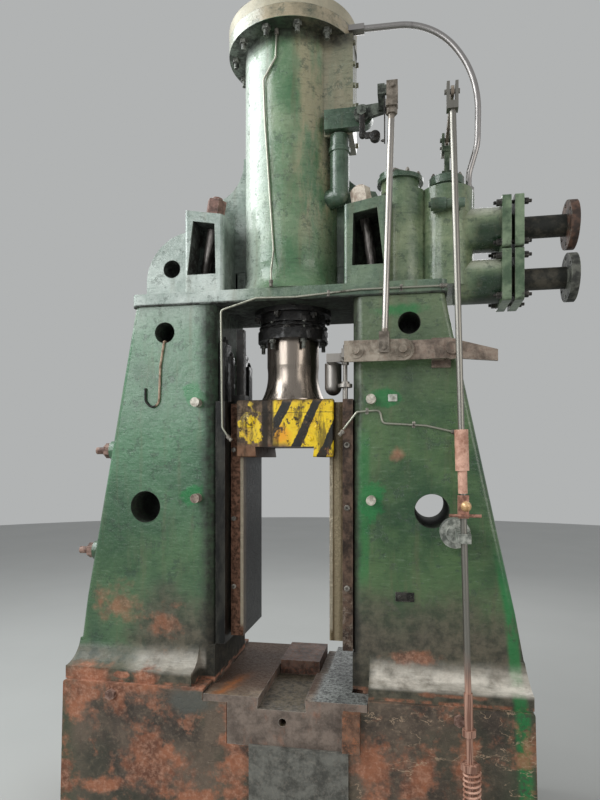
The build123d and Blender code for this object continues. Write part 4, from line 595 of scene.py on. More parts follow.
def cylinder_dark_rim_and_foot(f):
    below = f.step(f.z, FLANGE_FACE_Z - SHARP, FLANGE_FACE_Z - 3 * SHARP)
    # painted shade: the band under the flange's face is painted dark
    rim = f.step(f.z + 0.05 * f.noise(7, 4), 3.40, 3.455) * below * 0.9
    # darker towards the foot of the cylinder
    foot = f.step(f.z + 0.10 * f.noise(6, 4), 2.42, 2.35) * 0.5
    return f.top(rim, foot)


cylinder_paint = enamel("cylinder_enamel", cylinder_greens, grime_and_shade=cylinder_dark_rim_and_foot, runs=0.45)

# %% [markdown]
# The top casting is painted pale green on the left, a painted highlight where the light falls, and olive on
# the right. Inside the boxes for the tie bolts it is painted black as painted shade. So its mask of painted
# shade looks for those pockets, for the underside of the plate, for the bore of the web and for the flanks
# that face the cylinder.

# %% Enamel of the top casting
WEB_HOLE = (0.548, 2.482, 0.040)
POCKET_X, POCKET_Z = 0.352, 2.53
POCKET_HALF = (0.080, 0.236, 0.140)


def top_greens(f):
    clouds = f.blots(0.34, 0.66, 4, 6, 0.66)
    # painted light: the left part is painted pale, a painted highlight where the light from the left falls
    right = f.mix(shade("#4a6050"), shade("#74876f"), clouds)
    left = f.mix(shade("#78897e"), shade("#b3bdb5"), clouds)
    return f.mix(right, left, f.step(f.x, -0.05, -0.28))


def pocket_shade(f):
    # painted shade: the pockets, the underside of the plate, the bore of the web and the flanks facing the
    # cylinder are painted dark
    wide, far, tall = POCKET_HALF
    across = f.step(abs(abs(f.x) - POCKET_X), wide, wide - 0.006)
    deep = f.step(abs(f.y), far, far - 0.008)
    high = f.step(abs(f.z - POCKET_Z), tall, tall - 0.008)
    under = f.step(f.z, 2.292, 2.284)
    inward = f.step(abs(f.x), 0.275, 0.266) * f.step(abs(f.y), 0.235, 0.20)
    flank = inward * f.step(f.z + 0.08 * f.noise(8, 4), 2.74, 2.62) * 0.62
    return f.top(f.top(across * deep * high, under), f.top(flank, bore(f, WEB_HOLE)))


top_paint = enamel("top_enamel", top_greens, grime_and_shade=pocket_shade)

# %% [markdown]
# The valve chest gathers dust on what looks up, and near its nozzles what looks down is painted dark green
# as painted shade. So its paint needs to know which way it faces: the upward part of the surface's normal is
# 1 on a floor, 0 on a wall and -1 under a ceiling. Small castings wear one dark green with softer clouds.

# %% Enamel of the chest and of small castings
def facing(f):
    """How far the surface looks up: 1 on a floor, -1 under a ceiling."""
    normal = f.node("ShaderNodeNewGeometry", {}, {}, "Normal")
    return f.node("ShaderNodeSeparateXYZ", {}, {0: normal}, 2)


def chest_greens(f):
    clouds = f.blots(0.34, 0.66, 4, 6, 0.66, shift=(2, 1, 5))
    colour = f.mix(shade("#52684d"), shade("#939f7c"), clouds)
    dusty_top = f.step(facing(f), 0.15, 0.7) * (0.5 + 0.45 * f.step(f.x, 0.76, 0.80))
    colour = f.mix(colour, shade("#b3b6a2"), dusty_top)
    # painted shade: faces that look down, near the nozzles, are painted dark green
    below = f.step(facing(f) + 0.3 * (f.noise(9, 4) - 0.5), 0.35, -0.2)
    return f.mix(colour, shade("#123019"), f.step(f.x, 0.765, 0.83) * below * 0.95)


def fitting_greens(f):
    return f.mottle("#304634", "#586d5b", 0.34, 0.66, 9, 6, 0.66)


def chest_dark_foot(f):
    # darker at the foot of the chest
    return f.step(f.z, 2.30, 2.27) * 0.7


chest_paint = enamel("chest_enamel", chest_greens, grime_and_shade=chest_dark_foot)
small_paint = enamel("fitting_enamel", fitting_greens)

# %% [markdown]
# The cover is the highest part of the machine, and nobody wipes it. Dust is simple to make:
# it lies on what faces up, so the upward part of the surface's normal is its mask again.
# What faces down stays clean of dust and is painted black, as painted shade.

# %% Dusty cover
def dusty_cover():
    f = Finish("cover_enamel", Coat_Roughness=0.2)
    clouds = f.blots(0.35, 0.68, 7, 5, 0.65)
    colour = f.mix(shade("#757a6b"), shade("#a7a591"), clouds)
    up = facing(f)
    settled = f.step(up + 0.35 * (f.noise(16, 5, 0.7) - 0.5), -0.35, 0.35)
    colour = f.mix(colour, shade("#c6b89d"), settled * 0.9)
    # painted shade: what faces down is painted black
    colour = f.mix(colour, GREASE, f.step(up, -0.3, -0.8) * 0.85)
    worn = f.worn_edges(0.005, 0.45, 0.6, 30, 4)
    colour = f.mix(colour, shade("#9a9c90"), worn * 0.6)
    height = f.noise(14, 3) * 0.5 + f.noise(80, 3) * 0.3
    return f.finish(colour, 0.34 + 0.45 * settled, None, f.relief(height, 0.006), (1 - settled) * 0.4)


cover_paint = dusty_cover()

# %% [markdown]
# The bed stands in scale and cooling water, and its paint has mostly gone. What is left is
# a dark crust of oil and soot, with soft islands of pink rust, and a little green at the
# far edges. Crust and rust differ in height too: the crust is thick and finely cracked.

# %% The bed
ISLANDS = (
    (-0.87, 0.60, 0.14, 0.14), (-0.70, 0.60, 0.12, 0.11), (-0.60, 0.635, 0.12, 0.04),
    (-0.53, 0.31, 0.20, 0.12), (-0.55, 0.40, 0.08, 0.09), (-0.94, 0.24, 0.06, 0.18),
    (-0.175, 0.36, 0.075, 0.28), (0.39, 0.38, 0.100, 0.19), (0.58, 0.36, 0.090, 0.14),
    (0.76, 0.40, 0.07, 0.15), (-0.78, 0.21, 0.16, 0.045), (-0.40, 0.20, 0.18, 0.04),
)
RAGGED_EDGE = (1.4, 0.7, 15)


def bed_skin():
    f = Finish("bed_crust", Specular_IOR_Level=0.4, Coat_Roughness=0.25)
    crumbs = f.noise(42, 7, 0.74, shift=(6, 1, 3))
    crust = f.mottle("#372f28", "#6b5c4e", 0.34, 0.66, 5, 6, 0.66)
    crust = f.mix(crust, shade("#8a7865"), f.step(crumbs, 0.48, 0.72) * 0.65)
    olive = f.blots(0.48, 0.62, 3, 5, 0.6, shift=(1, 8, 1))
    colour = f.mix(crust, shade("#3c4334"), olive * 0.4)
    slate = f.patch(-0.37, 0.585, 0.13, 0.07, 0.8, 0.6)
    colour = f.mix(colour, shade("#565a55"), slate * 0.7)
    edge = f.step(abs(f.x) + 0.08 * f.noise(9, 4), 0.90, 0.99)
    colour = f.mix(colour, shade("#33452f"), edge * 0.7)
    colour = f.mix(colour, EMERALD, fresh_stripe(f) * 0.8 * f.step(crumbs, 0.34, 0.5))
    rust = spots(f, [island + RAGGED_EDGE for island in ISLANDS])
    line = f.step(f.z, 0.632, 0.642) * f.blots(0.36, 0.6, 15, 5, 0.7) * f.step(f.x, 0.2, -0.2)
    scattered = f.blots(0.53, 0.64, 6.5, 7, 0.72, shift=(9, 2, 5)) * 0.75
    rust = f.top(rust, f.top(line, scattered))
    worn = f.worn_edges(0.008, 0.4, 0.6, 20, 4)
    colour = f.mix(colour, rust_colour(f), f.top(rust * 0.95, worn * 0.6))
    colour = f.mix(colour, shade("#c7b9a2"), f.blots(0.68, 0.74, 120, 3, 0.8) * 0.5)
    torn = f.step(abs(f.noise(2.6, 6, 0.6, (1, 1, 2), (3, 7, 5)) - 0.5), 0.006, 0.002)
    torn = torn * f.step(f.x, 0.28, 0.34) * f.blots(0.44, 0.56, 14, 4)
    colour = f.mix(colour, shade("#b39a80"), torn * 0.7)
    cracks = f.step(f.cells(30, feature="DISTANCE_TO_EDGE"), 0.0, 0.04)
    height = f.noise(9, 4) * 0.5 + crumbs * 0.45 + cracks * 0.08 * (1 - rust)
    rough = 0.42 + 0.36 * rust + 0.2 * f.noise(30, 4)
    return f.finish(colour, rough, None, f.relief(height, 0.010), (1 - rust) * 0.25)


bed_paint = bed_skin()

# %% [markdown]
# The sow block is struck, scraped and knocked all day, so its top is bare grey iron with
# dents, scratches and dark burns, while its front rusts like everything near the floor.
# Which is which follows from the normal again: what faces up is worn, what faces forward
# is rusty. The slot keeps oily scale, so it is darkest, and scale lies along the back.

# %% Worn iron
def worn_iron():
    f = Finish("worn_iron", Specular_IOR_Level=0.5)
    up = f.step(facing(f), 0.5, 0.85)
    grain = f.noise(34, 8, 0.76)
    heavy = f.step(f.x, 0.13, 0.17)
    brown = f.mix(shade("#43362b"), shade("#93806c"), f.step(grain, 0.30, 0.66))
    top = f.mix(brown, f.mix(shade("#3c3c3a"), shade("#9a9d98"), f.step(grain, 0.30, 0.66)), heavy)
    burn = f.blots(0.47, 0.58, 70, 7, 0.78, shift=(1, 4, 2))
    top = f.mix(top, shade("#232325"), burn * (0.12 + 0.6 * heavy))
    back = f.step(f.y + 0.20 * (f.noise(6, 5, 0.65) - 0.5), -0.36, -0.24) * (1 - heavy)
    top = f.mix(top, shade("#4b3526"), back * 0.9)
    streak = f.step(abs(f.x + 0.235 - 0.25 * (f.y + 0.3)) + 0.10 * f.noise(19, 6, 0.75), 0.10, 0.03)
    top = f.mix(top, shade("#a35c20"), streak * f.step(f.y, -0.05, -0.2) * (1 - heavy) * 0.7)
    low = f.step(f.z, 0.61, 0.60)
    top = f.mix(top, f.mix(shade("#3a342a"), shade("#6a5f4d"), f.step(grain, 0.36, 0.6)), low)
    side = f.mottle("#584d45", "#85766b", 0.34, 0.64, 16, 7, 0.74)
    side = f.mix(side, RUST_MAIN, f.blots(0.54, 0.7, 6, 6, 0.7, (1.5, 1, 0.7), (4, 4, 4)) * 0.5)
    colour = f.mix(side, top, up)
    worn = f.worn_edges(0.006, 0.35, 0.6, 30, 4)
    colour = f.mix(colour, shade("#a9a399"), worn * 0.8)
    pits = f.step(f.cells(120), 0.0, 0.25)
    height = f.noise(30, 5, 0.7) * 0.5 + pits * 0.3 * (0.2 + 0.8 * heavy) + f.noise(7, 2) * 0.5
    rough = 0.62 - 0.22 * up * (1 - back) + 0.25 * burn
    metal = up * (1 - low) * (1 - back) * f.step(grain, 0.45, 0.7) * 0.4
    return f.finish(colour, rough, metal, f.relief(height, 0.007))


iron = worn_iron()

# %% [markdown]
# Links, keys and plates are forged or rolled steel that has rusted evenly. They differ in
# colour and in how much metal still shows, so one recipe takes a dark, a main and a warm
# colour, and the share of the warm flakes.

# %% Rusty steel
def rusty_steel(name, dark, main, warm, share, metal_share=0.0, rough_low=0.55):
    """Steel that has rusted evenly in two shades, with flakes of a warm third one."""
    f = Finish(name, Specular_IOR_Level=0.5)
    colour = f.mottle(dark, main, 0.36, 0.64, 18, 6, 0.68)
    flakes = f.blots(0.50, 0.64, 65, 5, 0.75, shift=(2, 2, 8))
    colour = f.mix(colour, shade(warm), flakes * share)
    worn = f.worn_edges(0.003, 0.4, 0.6, 50, 4)
    colour = f.mix(colour, shade("#b5aea2"), worn * 0.6)
    height = f.noise(120, 5, 0.7) * 0.6 + f.noise(30, 4) * 0.5
    metal = (1 - flakes) * metal_share
    return f.finish(colour, rough_low + 0.3 * flakes, metal, f.relief(height, 0.0026))


key_rust = rusty_steel("key_rust", "#4d3628", "#84604b", "#a86b4a", 0.6)
link_steel = rusty_steel("link_steel", "#5e5248", "#9a8a7c", "#75594b", 0.5, 0.25, 0.4)
fork_steel = rusty_steel("fork_steel", "#6e6457", "#a99e8f", "#806858", 0.4, 0.3, 0.4)
pink_rust = rusty_steel("pink_rust", "#a3745f", "#deb09a", "#8c5644", 0.4)
brown_rust = rusty_steel("brown_rust", "#3f2c22", "#6f5649", "#855642", 0.6)
chute_grey = rusty_steel("chute_grey", "#4c4b46", "#77766f", "#8c8478", 0.3, 0.2, 0.42)

# %% [markdown]
# The four tie bolts are one CAD node, but they look different above and below the boxes. In
# the boxes they are dull steel. On top, the left nuts are brown and the right ones pale, as
# they catch dust. Height and side are enough to tell them apart.

# %% Tie bolts
NUT_FOOT = (2.655, 2.675)


def tie_finish():
    """Tie bolts: dull steel in the boxes, brown nuts on the left and pale ones on the right."""
    f = Finish("tie_steel", Specular_IOR_Level=0.5)
    left = f.mottle("#4d342a", "#846155", 0.36, 0.64, 22, 6, 0.7)
    right = f.mottle("#a08c7c", "#e4d8c8", 0.34, 0.6, 22, 6, 0.7)
    nuts = f.mix(left, right, f.step(f.x, -0.1, 0.1))
    shank = f.mottle("#37332f", "#a39c97", 0.42, 0.62, 30, 5, 0.65, (1, 1, 0.2))
    nut = f.step(f.z, *NUT_FOOT)
    colour = f.mix(shank, nuts, nut)
    colour = f.mix(colour, shade("#d8cfc4"), f.edges(0.004) * nut * 0.5)
    height = f.noise(90, 5, 0.7)
    return f.finish(colour, 0.35 + 0.25 * nut, (1 - nut) * 0.6, f.relief(height, 0.002))


tie_steel = tie_finish()

# %% [markdown]
# The guides are two things at once. Their front is brown and pitted, with an edge that the ram has rubbed,
# and that edge is also painted pale as a painted highlight. The face that looks into the working space is
# brown near the front and turns black towards the back. It keeps little gloss, so it takes a low specular
# level: seen along its length it would mirror the backdrop and turn grey.

# %% Guides
GUIDE_FACE_Y = -0.1645
GUIDE_CORNER_X = 0.199


def guide_skin():
    f = Finish("guide_skin", Specular_IOR_Level=0.15)
    front = f.step(f.y, GUIDE_FACE_Y + 0.0015, GUIDE_FACE_Y)
    pits = f.blots(0.42, 0.6, 55, 6, 0.76)
    left = f.mix(shade("#84614f"), shade("#4d392e"), pits)
    strands = f.noise(30, 3, 0.5, (1, 1, 0.02), (3, 1, 6))
    right = f.mix(shade("#62523b"), shade("#a3957a"), f.step(strands, 0.4, 0.6))
    colour = f.mix(left, right, f.step(f.x, -0.1, 0.1))
    # rubbed corner, painted pale, partly a painted highlight
    corner = f.step(abs(abs(f.x) - GUIDE_CORNER_X), 0.009, 0.006)
    rubbed_sheen = corner * f.step(f.z, 1.63, 1.60) * f.step(f.z, 0.85, 0.88)
    colour = f.mix(colour, shade("#b8ad98"), rubbed_sheen)
    # the face that looks inward turns black towards the back
    inner = f.mix(shade("#5e4f40"), shade("#0c0b0a"), f.step(f.y + 0.02 * strands, -0.125, -0.095))
    colour = f.mix(inner, colour, front)
    metal = 0.1 + 0.4 * corner
    height = pits * 0.6 + f.noise(14, 3) * 0.5
    return f.finish(colour, 0.6 - 0.3 * corner, metal, f.relief(height, 0.003))


guide_steel = guide_skin()

# %% [markdown]
# The gibs wedge the guides against the columns. The left one is black with grease, and the
# right one brown, with scabs of scale low down where the heat of the work reaches it.

# %% Gibs
def gib_skin():
    f = Finish("gib_skin", Specular_IOR_Level=0.45)
    black = f.mottle("#0f0f0d", "#33322c", 0.4, 0.64, 20, 6, 0.7, (1, 1, 0.3))
    brown = f.mottle("#2d221b", "#6b5547", 0.38, 0.64, 16, 6, 0.7)
    colour = f.mix(black, brown, f.step(f.x, -0.1, 0.1))
    scabs = f.blots(0.5, 0.62, 40, 6, 0.75, shift=(4, 1, 1))
    scabs = scabs * f.step(f.z, 1.15, 0.95) * f.step(f.x, 0.0, 0.1)
    colour = f.mix(colour, shade("#8d8072"), scabs * 0.6)
    worn = f.worn_edges(0.004, 0.45, 0.62, 36, 4)
    colour = f.mix(colour, shade("#77706a"), worn * 0.7)
    height = f.noise(40, 6, 0.7) * (0.5 + 0.6 * scabs)
    return f.finish(colour, 0.42, 0.3, f.relief(height, 0.004))


gib_steel = gib_skin()

# %% [markdown]
# The rod of a hammer is polished by its own packing. It is smooth steel under a film of
# brown oil that gathers in streaks, so metal and oil are two finishes mixed by one mask.
# Other round steel on the machine is duller, but it is made by the same recipe.

# %% Steel and oil
def oiled_steel(
    name, light, oil, streaks, rough_low, rough_high, dark_low=None, rusty_low=None, rusty_ends=None
):
    """Bright steel with streaks of oil along Z. The last three are heights that look other."""
    f = Finish(name, Specular_IOR_Level=0.5)
    wide = f.noise(7, 4, 0.6, (1, 1, 0.12))
    fine = f.noise(45, 4, 0.6, (1, 1, 0.05), (3, 1, 4))
    film = f.step(wide * 0.6 + fine * 0.4, 0.60 - 0.2 * streaks, 0.78 - 0.2 * streaks)
    colour = f.mix(shade(light), shade(oil), film)
    stains = f.blots(0.66, 0.74, 90, 3, 0.8)
    colour = f.mix(colour, shade("#5a4030"), stains * 0.6)
    scratch = f.noise(160, 2, 0.5, (1, 1, 0.03), (8, 1, 4))
    metal = 1 - 0.55 * film
    if dark_low:
        rim = f.step(f.z + 0.02 * f.noise(20), *dark_low)
        colour = f.mix(colour, GREASE, rim * 0.85)
    if rusty_low:
        rust = f.step(f.z + 0.1 * f.noise(20, 5, 0.7), *rusty_low)
        colour = f.mix(colour, f.mix(shade("#7b5748"), shade("#b58d7b"), f.step(scratch, 0.4, 0.6)), rust)
        metal = metal * (1 - rust)
    if rusty_ends:
        low, high = rusty_ends
        ends = f.top(f.step(f.z, low, low - 0.004), f.step(f.z, high, high + 0.004))
        plain = f.mottle("#5f574d", "#968c80", 0.36, 0.62, 24, 6, 0.7)
        colour = f.mix(colour, plain, ends)
        metal = metal * (1 - 0.7 * ends)
    rough = rough_low + (rough_high - rough_low) * film + 0.08 * scratch
    normal = f.relief(scratch * 0.5 + f.noise(12, 2) * 0.5, 0.0006)
    return f.finish(colour, rough, metal, normal)


rod_steel = oiled_steel("rod_steel", "#a0958b", "#30241c", 0.70, 0.20, 0.36, dark_low=(1.882, 1.872))
bright_steel = oiled_steel("bright_steel", "#a5a29c", "#57534b", 0.4, 0.28, 0.42)
valve_steel = oiled_steel("valve_steel", "#b0aba5", "#5f5a53", 0.4, 0.28, 0.42, rusty_ends=(2.125, 2.95))
throttle_steel = oiled_steel("throttle_steel", "#918e87", "#4a463f", 0.45, 0.36, 0.5, rusty_low=(0.98, 0.78))
dull_steel = oiled_steel("dull_steel", "#a29d97", "#4b4640", 0.5, 0.36, 0.55)
tube_metal = oiled_steel("tube_metal", "#aeaea0", "#55544a", 0.5, 0.45, 0.6)
loop_metal = oiled_steel("loop_metal", "#aaa6a4", "#5c5757", 0.4, 0.32, 0.5)

# %% [markdown]
# The ram carries hand-painted hazard stripes, yellow with black slants, worn through at
# the corners and smeared with grease. Stripes are simple arithmetic: the remainder of a
# slanted distance. The painter was not exact, so the slant wobbles. On the left the paint
# survives only in blobs, and a dark band of grease separates it from the rest.

# %% Hazard stripes on the ram
STRIPE_PITCH, STRIPE_SLANT = 0.135, 0.5
STRIPE_X, STRIPE_Z = 0.089, 1.742


def hazard():
    f = Finish("hazard_paint", Coat_Roughness=0.2)
    wobble = (f.noise(9, 4, 0.6) - 0.5) * 0.018 + (f.noise(70, 4, 0.7) - 0.5) * 0.008
    slant = f.x - (f.z - STRIPE_Z) * STRIPE_SLANT - STRIPE_X + wobble * 1.6
    phase = f.maths("FRACT", slant / STRIPE_PITCH + 8.5)
    black = f.step(abs(phase - 0.5), 0.165, 0.150)
    painted = f.step(f.x, -0.056, -0.046)
    front = f.step(f.y, -0.192, -0.196)
    yellow = f.mottle("#cf9f10", "#f4cf12", 0.32, 0.52, 10, 5, 0.65)
    amber = f.patch(-0.015, 1.71, 0.055, 0.06, 0.9, 0.8)
    yellow = f.mix(yellow, shade("#ee9a12"), amber * 0.8)
    paint = f.mix(yellow, shade("#0f100b"), black * painted)
    blobs = f.patch(-0.150, 1.755, 0.048, 0.085, 1.5, 0.25, 18)
    high = f.step(f.z + 0.035 * f.noise(16, 5, 0.7), 1.884, 1.862)
    rise = 0.06 * f.step(f.x, 0.0, 0.09)
    low = f.step(f.z + 0.035 * f.noise(13, 5, 0.7) + rise, 1.672, 1.700)
    kept = f.top(painted, blobs) * front * high * low
    chips = f.blots(0.56, 0.585, 22, 8, 0.78, shift=(4, 4, 4))
    grain = f.blots(0.36, 0.62, 20, 7, 0.72)
    bare = f.mix(shade("#221b15"), shade("#77634f"), grain)
    bare = f.mix(bare, shade("#8b6146"), f.step(f.z + 0.03 * f.noise(15, 4), 1.70, 1.66) * 0.6)
    band = f.step(abs(f.x + 0.086) + 0.01 * f.noise(30, 4), 0.022, 0.014)
    bare = f.mix(bare, GREASE, f.top(band, (1 - front) * 0.8) * 0.85)
    shows = kept * (1 - chips)
    colour = f.mix(bare, paint, shows)
    smears = f.blots(0.50, 0.62, 12, 7, 0.7, (2.4, 1, 0.55), (2, 6, 1))
    colour = f.mix(colour, shade("#2a1f0b"), smears * 0.75)
    scratch = f.step(abs(f.z - 1.806 + 0.012 * (f.noise(3) - 0.5)), 0.0018, 0.0008)
    colour = f.mix(colour, shade("#241d12"), scratch * 0.8)
    height = f.noise(24, 5, 0.6) * 0.5 + shows * 0.16 + f.noise(120, 3) * 0.14 - scratch * 0.1
    rough = 0.55 - 0.2 * shows + 0.15 * chips
    return f.finish(colour, rough, (1 - shows) * 0.3, f.relief(height, 0.004), shows * 0.4)


ram_paint = hazard()

# %% [markdown]
# Round the gland everything drips with black oil. It is nearly black and shines in small
# wet lumps, so the coat is a mask of its own, and only a few edges show bare metal.

# %% Black grease
def grease_skin():
    f = Finish("black_grease", Specular_IOR_Level=0.45, Coat_Roughness=0.12)
    lumps = f.noise(60, 6, 0.7)
    colour = f.mix(shade("#070606"), shade("#2a2622"), f.step(lumps, 0.46, 0.72))
    worn = f.worn_edges(0.004, 0.5, 0.62, 38, 4)
    colour = f.mix(colour, shade("#8f8a80"), worn * 0.6)
    height = lumps * 0.8 + f.noise(16, 3) * 0.5
    wet = f.blots(0.5, 0.62, 24, 4)
    return f.finish(colour, 0.5 - 0.2 * wet, worn * 0.4, f.relief(height, 0.009), wet * 0.6)


grease = grease_skin()
black_steel = rusty_steel("black_steel", "#0e0d0c", "#25221f", "#3f322a", 0.3, 0.15, 0.42)

# %% [markdown]
# Nuts and bolts are rubbed bright on their corners and ends by spanners. The same recipe
# makes them dark, worn, greenish or pale. The bolts of the frame are one CAD node that
# spans the machine, so their rust goes by place: below, at the outer side, low on the left.

# %% Bolts
def bolt_steel(name, dark, main, end):
    """Dark nuts whose corners and ends are rubbed bright."""
    f = Finish(name, Specular_IOR_Level=0.5)
    colour = f.mottle(dark, main, 0.38, 0.64, 32, 5, 0.65)
    worn = f.worn_edges(0.0035, 0.38, 0.58, 44, 4)
    colour = f.mix(colour, shade(end), worn * 0.9)
    height = f.noise(90, 4, 0.65)
    return f.finish(colour, 0.5 - 0.15 * worn, 0.35 + 0.4 * worn, f.relief(height, 0.0016))


def frame_bolt_finish():
    """Bolts of the frame: pale ends on the columns, rust on the bed and at the outer side."""
    f = Finish("frame_bolt_steel", Specular_IOR_Level=0.5)
    cloud = f.blots(0.36, 0.64, 32, 5, 0.65)
    pale = f.mix(shade("#8f877a"), shade("#dcd6c8"), cloud)
    rust = f.mix(shade("#543a30"), shade("#987b6e"), cloud)
    lower_left = f.step(f.x, -0.3, -0.35) * f.step(f.z, 1.7, 1.5)
    rusted = f.top(f.step(f.z, 0.9, 0.8), f.top(f.step(f.x, -0.6, -0.65), lower_left * 0.7))
    colour = f.mix(pale, rust, rusted)
    worn = f.worn_edges(0.0035, 0.38, 0.58, 44, 4)
    colour = f.mix(colour, shade("#e6e0d4"), worn * (0.8 - 0.6 * rusted))
    height = f.noise(90, 4, 0.65)
    return f.finish(colour, 0.45 + 0.2 * rusted, 0.3 * (1 - rusted), f.relief(height, 0.0016))


frame_bolt = frame_bolt_finish()
dark_bolt = bolt_steel("dark_bolt", "#171614", "#3d3a35", "#b9b6ae")
worn_bolt = bolt_steel("worn_bolt", "#57534c", "#a39c92", "#e2ddd4")
green_nut = bolt_steel("green_nut", "#2c3a2c", "#5d6a55", "#b5b8a8")
rocker_steel = bolt_steel("rocker_steel", "#2a2d27", "#6b7167", "#a9ada3")
hub_steel = bolt_steel("hub_steel", "#666a63", "#b3b5ac", "#deddd4")
stud_steel = bolt_steel("stud_steel", "#2f302c", "#85877e", "#dcdcd2")
pale_plate = rusty_steel("pale_plate", "#9a9d92", "#dcded4", "#b0ad9f", 0.3)

# %% [markdown]
# The steam lines change along their length. The square flanges at the chest are green, the pipes black and
# the round end flanges rusty, and the gap between two flanges, painted black as painted shade, shows their
# bolts. All of it runs along X, so X alone says which paint a point wears.

# %% Steam lines
FLANGE_GAP_X, FLANGE_END_X, ROUND_FLANGE_X = 0.9515, 0.995, 1.172


def pipe_finish():
    """Steam lines: green flange pairs, dark pipes and rusty end flanges."""
    f = Finish("steam_line_skin", Coat_Roughness=0.25)
    green = f.mottle("#41583f", "#7d8f72", 0.36, 0.64, 9, 6, 0.68)
    black = f.mottle("#151711", "#4a453a", 0.42, 0.66, 14, 6, 0.7)
    # painted shade: the faces in the gap between two flanges are painted black
    shaded_gap = f.step(abs(f.x - FLANGE_GAP_X), 0.0075, 0.0065)
    plates = f.step(f.x, FLANGE_END_X + 0.002, FLANGE_END_X) * (1 - shaded_gap)
    colour = f.mix(black, green, plates)
    ends = f.step(f.x, ROUND_FLANGE_X, ROUND_FLANGE_X + 0.004)
    rust = f.mottle("#33261f", "#64493b", 0.4, 0.62, 24, 6)
    grey = f.mottle("#2c2d29", "#61625a", 0.4, 0.62, 24, 6)
    colour = f.mix(colour, f.mix(grey, rust, f.step(f.z, 2.47, 2.48)), ends)
    worn = f.worn_edges(0.005, 0.4, 0.6, 30, 4)
    colour = f.mix(colour, shade("#a3a998"), worn * 0.65)
    colour = f.mix(colour, GRIME, f.blots(0.55, 0.68, 15, 6, 0.7, shift=(5, 5, 5)) * 0.7)
    height = f.noise(16, 4) * 0.6 + f.noise(60, 4) * 0.4
    return f.finish(colour, 0.38 + 0.25 * (1 - plates), None, f.relief(height, 0.005), plates * 0.35)


line_paint = pipe_finish()

# %% [markdown]
# Two small things have a finish of their own. The lifting hook is a tan rod whose tip has
# gone black. The handle of the throttle rod is a rusty clamp with a bare cross bar and a
# brass ball, and the ball is found by its distance from its own centre.

# %% Hook and handle
BALL_Z, BALL_DEEP, BALL_R = 1.432, 0.019, 0.021
BAR_Z = 1.396


def hook_finish():
    """A tan rod, black at the tip of the hook."""
    f = Finish("hook_skin", Specular_IOR_Level=0.4)
    colour = f.mottle("#7d6552", "#b8a28c", 0.36, 0.62, 40, 5, 0.7)
    tip = f.step(f.x, -0.560, -0.575) * f.step(f.z, 2.0, 1.97)
    height = f.noise(90, 4, 0.7)
    return f.finish(f.mix(colour, shade("#1d1a18"), tip), 0.6, 0.15, f.relief(height, 0.0015))


def handle_finish():
    """Clamp and cross bar in pink rust, with a brass ball."""
    f = Finish("handle_skin", Specular_IOR_Level=0.5)
    front_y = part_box("rod_handle")[0][1]
    up = f.z - BALL_Z
    deep = f.y - front_y - BALL_DEEP
    reach = f.maths("SQRT", up * up + deep * deep)
    ball = f.step(reach, BALL_R + SHARP, BALL_R - SHARP)
    rust = f.mottle("#6d4a3c", "#b78673", 0.36, 0.62, 40, 6, 0.7)
    brass = f.mottle("#a97b4a", "#e0b888", 0.36, 0.6, 30, 5, 0.65)
    bar = f.step(abs(f.z - BAR_Z), 0.0075, 0.0065) * f.step(f.y, front_y + 0.034, front_y + 0.032)
    colour = f.mix(f.mix(rust, shade("#c9b8a6"), bar), brass, ball)
    metal = ball * 0.3 + bar * 0.4
    return f.finish(colour, 0.55 - 0.25 * ball, metal, f.relief(f.noise(80, 5, 0.7), 0.0016))


hook_skin = hook_finish()
handle_skin = handle_finish()

# %% [markdown]
# Every CAD node now gets its finish. A node's shape is never touched: only the material in
# its slots changes. Reading the table from the ground up is a good check that nothing has
# been forgotten.

# %% Who wears what
WEARS = {
    "bed": bed_paint, "sow_block": iron, "wedge_key": key_rust, "slot_block": brown_rust,
    "apron_plate": chute_grey, "left_column": left_paint, "right_column": right_paint,
    "frame_bolts": frame_bolt, "guides": guide_steel, "gibs": gib_steel,
    "top_casting": top_paint, "tie_bolts": tie_steel, "cylinder": cylinder_paint,
    "cylinder_cover": cover_paint, "cylinder_studs": stud_steel, "gland_neck": grease,
    "gland_flange": grease, "steam_port": cylinder_paint, "downpipe": small_paint,
    "rocker_bracket": small_paint, "valve_chest": chest_paint, "chest_caps": small_paint,
    "steam_lines": line_paint, "balance_pipe": loop_metal, "ram": ram_paint,
    "piston_rod": rod_steel, "lever_bracket": link_steel, "valve_lever": link_steel,
    "lever_link": fork_steel, "lever_shoe": dull_steel, "valve_rod": valve_steel,
    "valve_rocker": rocker_steel, "throttle_post": green_nut, "throttle_spindle": bright_steel,
    "throttle_rocker": fork_steel, "throttle_rod": throttle_steel, "rod_sleeve": pink_rust,
    "rod_handle": handle_skin, "return_spring": dull_steel, "rod_guides": hub_steel,
    "buffer_post": black_steel, "lever_stop": dull_steel, "oil_tubes": tube_metal,
    "hanging_hook": hook_skin,
}
for name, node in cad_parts.items():
    for slot in node.material_slots:
        slot.material = WEARS[name]
print("nodes without a finish:", sorted(set(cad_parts) - set(WEARS)))

# %% [markdown]
# The fittings come next: nuts, unions, clips, the coil spring. Each kind is made once as a
# small mesh with bmesh operators and then stamped where it is needed, because a nut is a
# nut. All stamps of one kind go into one mesh, so that forty nuts are one piece. A piece
# keeps its place in its mesh, as the CAD nodes do, and rides on the body that carries it.

# %% From a bmesh to a piece
def shape_of(bm, name="shape"):
    """Keeps a bmesh as a mesh, for stamping or for a piece."""
    mesh = bpy.data.meshes.new(name)
    bm.to_mesh(mesh)
    bm.free()
    return mesh


